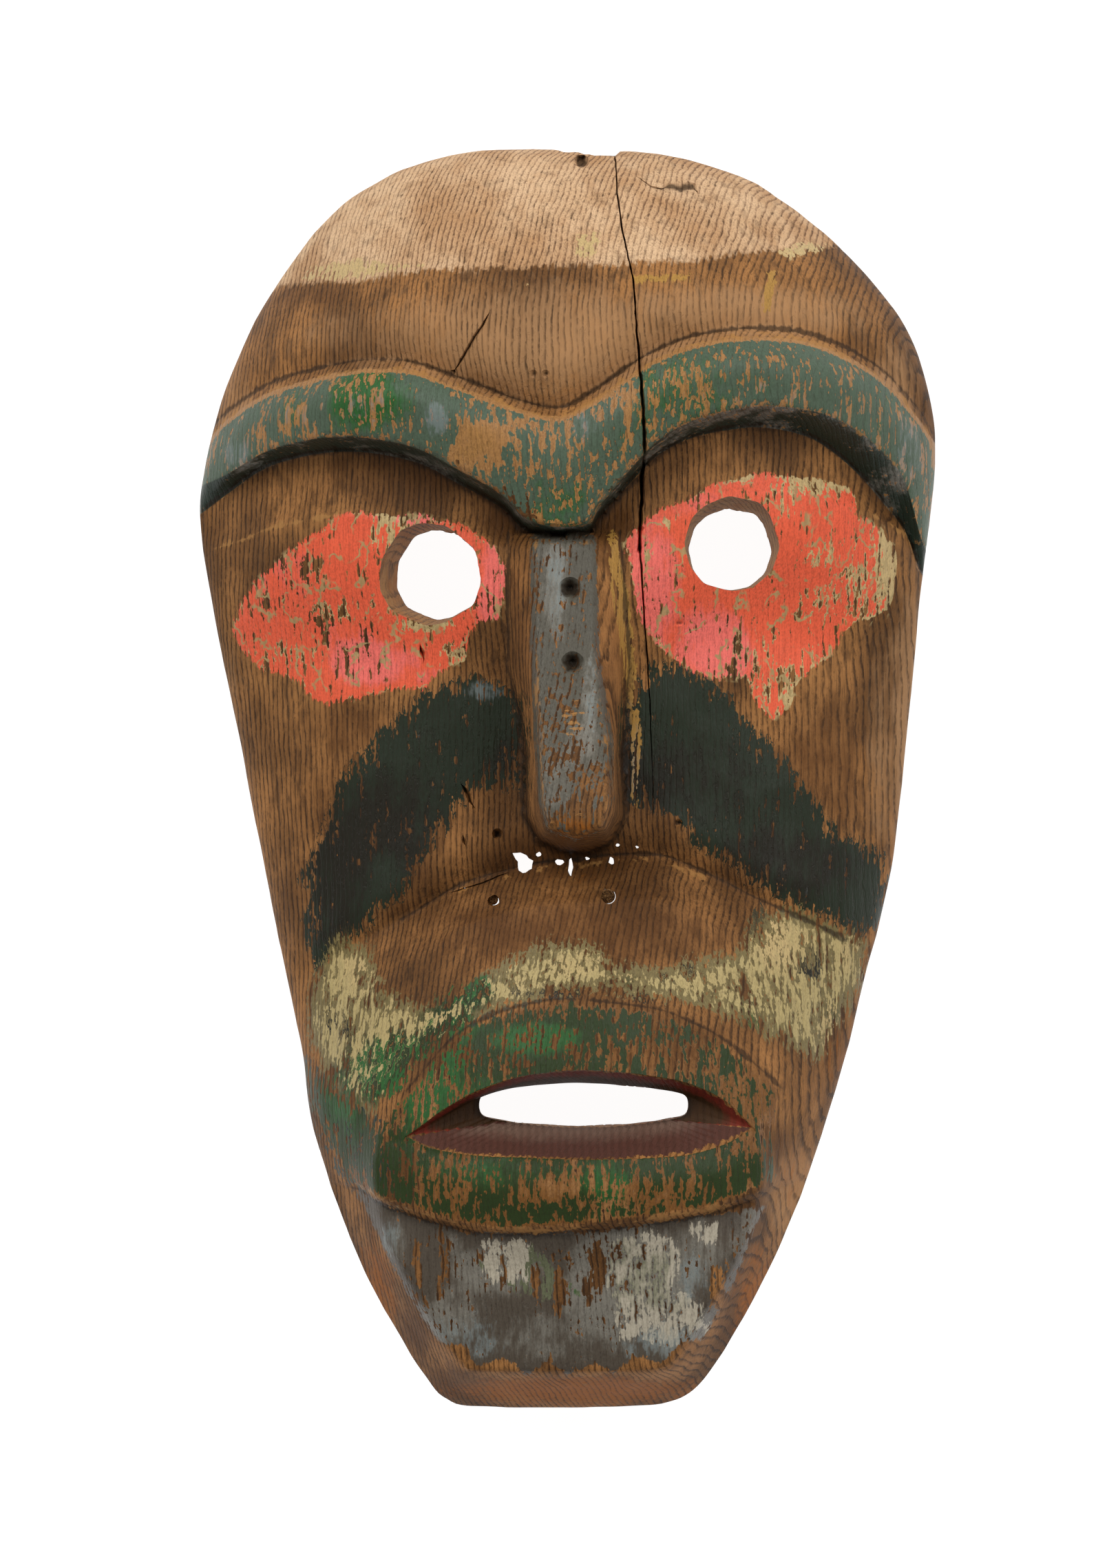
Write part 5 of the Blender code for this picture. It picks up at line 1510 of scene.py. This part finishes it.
def inside_of_mouth(ground, place, surface, tatter):
    """The ribbed wall inside the mouth: red under the upper lip, dark red and dusty over the lower one."""
    tree, colours = ground.tree, ground.colours
    add = partial(add_node, tree)
    split = add("ShaderNodeSeparateXYZ", place)
    ribs = weighted(tree, ((split.outputs[0], 2 * np.pi / RIB_SPACING), (ground.noises["waver"], 4.0)), 0.0)
    ribs = add("ShaderNodeMath", ribs, operation="SINE")
    ribs = add("ShaderNodeMapRange", ribs, -1.0, 1.0, **SMOOTH)
    ribs = add("ShaderNodeMath", ribs, 0.22, **TIMES)
    for key, near, far, start, end in (
        ("upper_mouth", "mouth_red", "wood_ring", 3.0, 8.0), ("lower_mouth", "maroon", "dust", 6.0, 14.0),
    ):
        depth = weighted(tree, ((tatter, 2.0),), ground.kept[key])
        laid = add("ShaderNodeMapRange", depth, 0.5, 1.2, **SMOOTH)
        tint = layered(tree, colours[near], depth, (start, end), colours[far])
        tint = add("ShaderNodeMix", ribs, tint, colours["dirt"], **COLOURS)
        surface = add("ShaderNodeMix", laid, surface, tint, **COLOURS)
    return surface


def painted_wood(name, paint):
    """Old softwood, carved and painted: growth rings as fine dark lines, a matt dry surface, thin oil paint
    with a low sheen that has chipped and worn off along the grain, and painted shade in its hollows and
    steps."""
    material, tree, shader, place = blank_material(name)
    add = partial(add_node, tree)
    noises = wood_noises(tree, place)
    late = growth_rings(tree, place, noises, paint)
    colours = {key: (*getattr(paint, key), 1) for key in paint.__annotations__ if key != "ring_spacing"}
    keys = {coat.area for coat in COATS} | {spot + "_spots" for spot in SPOTS} | set(OTHER_VALUES)
    kept = {key: add("ShaderNodeAttribute", attribute_name=key).outputs["Fac"] for key in sorted(keys)}
    ground = Ground(tree, noises, late, kept, colours)
    painted = add("ShaderNodeMath", 1.0, kept["unpainted"], **MINUS)
    surface, bleached = aged_wood(ground, painted)

    rub = mixed(tree, noises, RUBBING, 0.5, (late, 0.14), (kept["worn"], 0.12))
    tatter = mixed(tree, noises, TEARING, 0.0)
    thickness = 0.0
    for coat in COATS:
        surface, cover = laid_coat(ground, coat, surface, rub, tatter)
        thickness = add("ShaderNodeMath", thickness, cover, operation="MAXIMUM")
    surface = blemishes(ground, surface, thickness, tatter)
    surface = inside_of_mouth(ground, place, surface, tatter)
    cut = bare_wood(ground, ("rubbed", "warm", "wood_ring", "dirt"), 0.9)
    surface = add("ShaderNodeMix", kept["unpainted"], surface, cut, **COLOURS)
    # The groove and hollow rows lay painted shade; the ridge and worn rows lay real wear
    for key, terms, bounds, colour in (
        # Painted shade: a dark line along the foot of each step
        ("groove_line", ((tatter, 0.8), (noises["cloud"], 1.5)), (0.8, 1.4, 0.75, 0.0), "dirt"),
        ("ridge_line", ((tatter, 1.4), (noises["cloud"], 3.0)), (1.3, 1.9, 0.7, 0.0), "rubbed"),
        ("grime", ((noises["blotch"], 0.5), (noises["cloud"], 0.3)), (0.6, 1.4, 0.0, 0.8), "dirt"),
        ("worn", ((noises["streak"], 0.8), (noises["blotch"], 0.6)), (1.35, 1.75, 0.0, 0.65), "rubbed"),
    ):
        surface = layered(tree, surface, weighted(tree, terms, kept[key]), bounds, colours[colour])

    thickness = add("ShaderNodeMath", thickness, painted, **TIMES)
    roughness = add("ShaderNodeMapRange", bleached, 0.0, 1.0, 0.66, 0.8)
    roughness = add("ShaderNodeMix", thickness, roughness, 0.40, data_type="FLOAT")
    flake = add("ShaderNodeMapRange", rub, 0.7, 0.62, 0.0, 0.07, **SMOOTH)
    relief = weighted(tree, ((noises["fibre"], 0.08), (noises["blotch"], 0.16), (late, -0.09),
                             (noises["speck"], 0.08)), flake)
    bump = add("ShaderNodeBump", links={"Height": relief, "Distance": MM})
    tree.links.new(surface.outputs[2], shader.inputs["Base Color"])
    tree.links.new(roughness.outputs[0], shader.inputs["Roughness"])
    tree.links.new(bump.outputs[0], shader.inputs["Normal"])
    shader.inputs["IOR"].default_value = 1.48
    shader.inputs["Specular IOR Level"].default_value = 0.2
    return material


def broken_peg_nodes():
    """Geometry nodes for a peg snapped off in its hole: a round core under a bundle of torn fibres."""
    tree = bpy.data.node_groups.new("broken_peg", "GeometryNodeTree")
    add = partial(add_node, tree)
    for name, kind in (
        ("Diameter", "Float"), ("Core Length", "Float"), ("Fibre Length", "Float"), ("Fibre Width", "Float"),
        ("Foot", "Vector"), ("Seed", "Int"), ("Material", "Material"),
    ):
        tree.interface.new_socket(name, in_out="INPUT", socket_type="NodeSocket" + kind)
    tree.interface.new_socket("Geometry", in_out="OUTPUT", socket_type="NodeSocketGeometry")
    given = add("NodeGroupInput").outputs
    radius = add("ShaderNodeMath", given["Diameter"], 0.5, **TIMES)
    half = add("ShaderNodeMath", given["Core Length"], 0.5, **TIMES)
    core = add("GeometryNodeMeshCylinder", links={
        "Vertices": 24, "Side Segments": 6, "Radius": radius, "Depth": given["Core Length"]})
    lift = add("ShaderNodeCombineXYZ", 0.0, 0.0, half)
    core = add("GeometryNodeTransform", links={"Geometry": core, "Translation": lift})
    inner = add("ShaderNodeMath", radius, given["Fibre Width"], **MINUS)
    disc = add("GeometryNodeMeshCircle", 24, inner, fill_type="NGON")
    top = add("ShaderNodeCombineXYZ", 0.0, 0.0, given["Core Length"])
    disc = add("GeometryNodeTransform", links={"Geometry": disc, "Translation": top})
    spots = add("GeometryNodeDistributePointsOnFaces", distribute_method="POISSON", links={
        "Mesh": disc, "Distance Min": given["Fibre Width"], "Density Max": 2.0e7, "Seed": given["Seed"]})
    fibre = add("GeometryNodeMeshCone", links={
        "Vertices": 6, "Radius Top": 0.00006, "Radius Bottom": given["Fibre Width"],
        "Depth": given["Fibre Length"]})
    stretch = add("FunctionNodeRandomValue", (0.7, 0.7, 0.15), (1.1, 1.1, 1.0), data_type="FLOAT_VECTOR",
                  links={"Seed": given["Seed"]})
    lean = add("FunctionNodeRandomValue", (-0.2, -0.2, 0.0), (0.2, 0.2, 6.28), data_type="FLOAT_VECTOR",
               links={"Seed": given["Seed"]})
    turned = add("FunctionNodeEulerToRotation", lean)
    bundle = add("GeometryNodeInstanceOnPoints", links={
        "Points": spots, "Instance": fibre, "Rotation": turned, "Scale": stretch})
    both = add("GeometryNodeJoinGeometry", core)
    tree.links.new(bundle.outputs[0], both.inputs[0])
    placed = add("GeometryNodeTransform", links={"Geometry": both, "Translation": given["Foot"]})
    real = add("GeometryNodeRealizeInstances", placed)
    painted = add("GeometryNodeSetMaterial", links={"Geometry": real, "Material": given["Material"]})
    add("NodeGroupOutput", painted)
    return tree


def make_peg(node, name, tree, material, settings, seed, swell, shift):
    """The stub of a peg, snapped off in its hole, in place of its plain solid. It has swollen a little and
    leans against one side of its hole."""
    low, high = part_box(node)
    blank = bpy.data.meshes.new(name + "_blank")
    holder = bpy.data.objects.new(name + "_maker", blank)
    bpy.context.collection.objects.link(holder)
    modifier = holder.modifiers.new("peg", "NODES")
    modifier.node_group = tree
    middle = (low + high) / 2 + Vector((*shift, 0)) * MM
    values = {
        "Diameter": high.x - low.x + swell * MM, "Core Length": high.z - low.z - settings.fibre_length,
        "Fibre Length": settings.fibre_length, "Fibre Width": settings.fibre_width,
        "Foot": (middle.x, middle.y, low.z), "Seed": seed, "Material": material,
    }
    for item in tree.interface.items_tree:
        if item.in_out == "INPUT":
            modifier[item.identifier] = values[item.name]
    bpy.context.view_layer.update()
    evaluated = holder.evaluated_get(bpy.context.evaluated_depsgraph_get())
    mesh = bpy.data.meshes.new_from_object(evaluated)
    mesh.name = name
    holder.modifiers.clear()
    bpy.data.objects.remove(holder)
    bpy.data.meshes.remove(blank)
    return add_piece(name, mesh, material, "peg_wood", node)


def torn_wood(name, paint):
    """Softwood snapped across its fibres: pale, dry and rough, darkened by dirt between the fibres."""
    material, tree, shader, place = blank_material(name)
    add = partial(add_node, tree)
    fibre = add("ShaderNodeTexNoise", place, 3.0, 3.0).outputs[0]
    share = add("ShaderNodeMapRange", fibre, 0.3, 0.7)
    tint = add("ShaderNodeMix", share, (*paint.wood_ring, 1), (*paint.rubbed, 1), **COLOURS)
    bump = add("ShaderNodeBump", links={"Height": fibre, "Distance": 0.2 * MM})
    tree.links.new(tint.outputs[2], shader.inputs["Base Color"])
    tree.links.new(bump.outputs[0], shader.inputs["Normal"])
    shader.inputs["Roughness"].default_value = 0.8
    return material


def colour_property(name, description, value):
    """A colour that a user can change."""
    return FloatVectorProperty(name=name, description=description, subtype="COLOR", size=3, min=0, max=1,
                               default=linear(value))


def length_property(name, description, value):
    """A length that a user can change, given in millimetres."""
    return FloatProperty(name=name, description=description, unit="LENGTH", min=0, default=value * MM)


class CarvingSettings(PropertyGroup):
    """Sizes of the carving and of its tool marks."""
    face_facet: length_property("Face Facet", "Spacing of the mesh over the face", 0.9)
    hollow_facet: length_property("Hollow Facet", "Spacing of the mesh in the hollow behind", 2.1)
    knife_marks: length_property("Knife Marks", "Depth of the knife's cuts on the face", 0.3)
    gouge_marks: length_property("Gouge Marks", "Depth of the gouge's scoops in the hollow", 1.0)
    fibre_length: length_property("Fibre Length", "Length of the torn fibres on a broken peg", 1.2)
    fibre_width: length_property("Fibre Width", "Width of a torn fibre on a broken peg", 0.28)


class PaintSettings(PropertyGroup):
    """Colours of the wood and of each paint."""
    ring_spacing: length_property("Ring Spacing", "Distance between two growth rings", 1.3)
    wood: colour_property("Wood", "Bare old softwood", "#A57240")
    wood_stain: colour_property("Stained Wood", "Wood darkened by handling and smoke", "#664321")
    wood_ring: colour_property("Growth Ring", "The dark late wood of a growth ring", "#3F2813")
    # Also laid as painted shade under the brow and the nose and along the chin's lower edge
    stain: colour_property("Stain", "Dark stain over the lips and the lids", "#593616")
    # Also laid as painted light on the mask's steep sides
    faded: colour_property("Faded Wood", "Lighter wood where hands have rubbed", "#B0855B")
    warm: colour_property("Warm Wood", "Orange brown of wood that was bared later", "#A05A0E")
    fresh: colour_property("Fresh Wood", "Wood that the brow's paint has kept from the air", "#A67849")
    fresh_lip: colour_property("Fresh Wood of the Lips", "The same under the paint of the lips", "#7E5328")
    bleached: colour_property("Bleached Wood", "Weathered wood of the forehead", "#D8B48D")
    bleached_ring: colour_property("Bleached Ring", "Late wood of the weathered forehead", "#6D4D36")
    rubbed: colour_property("Rubbed Edge", "Wood laid bare on worn edges", "#A67843")
    # Serves real grime and grain lines, and also the painted shade in the hollows and at the foot of each
    # step
    dirt: colour_property("Dirt", "Grime settled in the carving", "#24180D")
    red: colour_property("Red", "Vermilion around the eyes", "#EA6242")
    # Also laid below each eye as a painted glossy highlight on the red
    pink: colour_property("Pink", "The same red where it has faded", "#F07266")
    primer: colour_property("Primer", "The pale ground under the red", "#C6AA76")
    khaki: colour_property("Khaki", "Brownish grey green of thin old paint", "#7C6D44")
    green: colour_property("Green", "Dull blue green of the brow", "#50604E")
    bright_green: colour_property("Bright Green", "The green where it is least faded", "#2C5E2C")
    olive: colour_property("Olive", "The green of the lips", "#2B3A1A")
    dark_green: colour_property("Dark Green", "Almost black green of the cheeks", "#27342A")
    black: colour_property("Black", "Black of the cheeks", "#211F16")
    deep_green: colour_property("Deep Green", "The cheeks' green where it isn't blackened", "#252D20")
    nose_black: colour_property("Nose Black", "Greyish black of the nose", "#59554A")
    # A painted highlight: the bluish sheen of light on old glossy paint, laid into the colour
    haze: colour_property("Haze", "Bluish bloom on old glossy paint", "#7F8886")
    charcoal: colour_property("Charcoal", "Worn black of the chin", "#544B40")
    slate: colour_property("Slate", "Blue grey of nose and chin", "#7C776C")
    cream: colour_property("Cream", "Cream of the band over the lips", "#B5A16D")
    sage: colour_property("Sage", "Green grey on the chin", "#66694F")
    chalk: colour_property("Chalk", "Off-white dabs on the chin", "#B5AB97")
    ochre: colour_property("Ochre", "Ochre beside the nose", "#AE8340")
    mouth_red: colour_property("Mouth Red", "Red inside the upper lip", "#742A1C")
    maroon: colour_property("Maroon", "Dark red inside the lower lip", "#55342A")
    dust: colour_property("Dust", "Dust settled inside the mouth", "#72594B")


class StageSettings(PropertyGroup):
    """The floor, the lights and the camera."""
    floor: colour_property("Floor", "Pale floor that the mask lies on", "#808080")
    glow: FloatProperty(name="Floor Glow", description="How brightly the floor is lit from below, as a light "
                        "table that shows white through the holes", min=0, default=0.95)
    key_power: FloatProperty(name="Key Power", description="Power of the larger soft light", unit="POWER",
                             default=15.0)
    fill_power: FloatProperty(name="Fill Power", description="Power of the smaller soft light", unit="POWER",
                              default=10.0)
    world: FloatProperty(name="Room Light", description="Strength of the light from all round",
                         subtype="FACTOR", default=0.35)
    camera_height: FloatProperty(name="Camera Height", description="Height of the camera over the floor",
                                 unit="LENGTH", default=2.6)


class CARVING_OT_mask(Operator):
    """Carve the mask, crack it and paint it"""
    bl_idname = "carving.mask"
    bl_label = "Carve Mask"

    def execute(self, context):
        make_mask(context.scene.carving, context.scene.carving_paint)
        return {"FINISHED"}


class CARVING_OT_pegs(Operator):
    """Fit the two broken pegs above the mouth"""
    bl_idname = "carving.pegs"
    bl_label = "Fit Broken Pegs"

    def execute(self, context):
        material = torn_wood("torn_softwood", context.scene.carving_paint)
        tree = broken_peg_nodes()
        settings = context.scene.carving
        make_peg("left_peg_stub", "left_broken_peg", tree, material, settings, 4, 0.15, (-0.18, 0.16))
        make_peg("right_peg_stub", "right_broken_peg", tree, material, settings, 9, 0.5, (-0.12, 0.0))
        return {"FINISHED"}


# The photograph's frame in pixels, and what one of its pixels measures on the mask in millimetres
FRAME_WIDTH = 1624
FRAME_HEIGHT = 2277
PIXEL = 0.16
MASK_CENTRE_PIXEL = (824, 1128)
SCALE_PLANE = 25.0
SENSOR_HEIGHT = 24.0

# Each soft light: its name and its place in metres. All are squares that face the middle of the face.
LIGHT_SIZE = 0.9
FACE_MIDDLE = Vector((0, 0, 0.04))
KEY_LIGHT = ("key_light", Vector((-0.65, 0.95, 1.25)))
FILL_LIGHT = ("fill_light", Vector((0.9, 0.65, 1.1)))
FLOOR_REACH = 3.0
FLOOR_GAP = 0.0002


def add_light(name, place, power):
    """A square soft light that faces the middle of the face."""
    light = bpy.data.lights.new(name, "AREA")
    light.size = LIGHT_SIZE
    light.energy = power
    holder = bpy.data.objects.new(name, light)
    holder.location = place
    holder.rotation_euler = (FACE_MIDDLE - place).to_track_quat("-Z", "Y").to_euler()
    bpy.context.collection.objects.link(holder)


class CARVING_OT_stage(Operator):
    """Lay the floor and set up the soft lights and the camera over the mask"""
    bl_idname = "carving.stage"
    bl_label = "Set Up Stage"

    def execute(self, context):
        settings = context.scene.carving_stage
        mesh = bpy.data.meshes.new("floor")
        corners = [(x * FLOOR_REACH, y * FLOOR_REACH, 0) for x, y in ((-1, -1), (1, -1), (1, 1), (-1, 1))]
        mesh.from_pydata(corners, [], [(0, 1, 2, 3)])
        floor = bpy.data.objects.new("floor", mesh)
        floor.location.z = -FLOOR_GAP
        bpy.context.collection.objects.link(floor)
        material = bpy.data.materials.new("pale_floor")
        material.use_nodes = True
        shader = material.node_tree.nodes["Principled BSDF"]
        shader.inputs["Base Color"].default_value = (*settings.floor, 1)
        shader.inputs["Roughness"].default_value = 0.9
        shader.inputs["Specular IOR Level"].default_value = 0.1
        shader.inputs["Emission Color"].default_value = (1, 1, 1, 1)
        shader.inputs["Emission Strength"].default_value = settings.glow
        mesh.materials.append(material)

        add_light(*KEY_LIGHT, settings.key_power)
        add_light(*FILL_LIGHT, settings.fill_power)
        world = bpy.data.worlds.new("soft_room")
        world.use_nodes = True
        world.node_tree.nodes["Background"].inputs["Color"].default_value = (1, 1, 1, 1)
        world.node_tree.nodes["Background"].inputs["Strength"].default_value = settings.world
        context.scene.world = world
        context.scene.view_settings.view_transform = "Standard"

        x = (FRAME_WIDTH / 2 - MASK_CENTRE_PIXEL[0]) * PIXEL * MM
        y = (MASK_CENTRE_PIXEL[1] - FRAME_HEIGHT / 2) * PIXEL * MM
        camera = bpy.data.cameras.new("camera")
        camera.sensor_fit = "VERTICAL"
        camera.sensor_height = SENSOR_HEIGHT
        reach = settings.camera_height - SCALE_PLANE * MM
        camera.lens = SENSOR_HEIGHT * reach / (FRAME_HEIGHT * PIXEL * MM)
        holder = bpy.data.objects.new("camera", camera)
        holder.location = (x, y, settings.camera_height)
        bpy.context.collection.objects.link(holder)
        context.scene.camera = holder
        return {"FINISHED"}


class CARVING_PT_panel(Panel):
    """The carving's sizes and colours, and its operators"""
    bl_label = "Painted Wooden Mask"
    bl_idname = "CARVING_PT_panel"
    bl_space_type = "VIEW_3D"
    bl_region_type = "UI"
    bl_category = "Mask"

    def draw(self, context):
        for operator in OPERATORS:
            self.layout.operator(operator.bl_idname)
        for group in (context.scene.carving, context.scene.carving_paint, context.scene.carving_stage):
            box = self.layout.box()
            for key in group.__annotations__:
                box.prop(group, key)


OPERATORS = (CARVING_OT_mask, CARVING_OT_pegs, CARVING_OT_stage)
CLASSES = (CarvingSettings, PaintSettings, StageSettings) + OPERATORS + (CARVING_PT_panel,)


def register():
    for made in CLASSES:
        bpy.utils.register_class(made)
    bpy.types.Scene.carving = PointerProperty(type=CarvingSettings)
    bpy.types.Scene.carving_paint = PointerProperty(type=PaintSettings)
    bpy.types.Scene.carving_stage = PointerProperty(type=StageSettings)


def unregister():
    del bpy.types.Scene.carving
    del bpy.types.Scene.carving_paint
    del bpy.types.Scene.carving_stage
    for made in reversed(CLASSES):
        bpy.utils.unregister_class(made)


def main():
    register()
    bpy.ops.carving.mask()
    bpy.ops.carving.pegs()
    bpy.ops.carving.stage()
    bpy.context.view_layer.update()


if __name__ == "__main__":
    main()
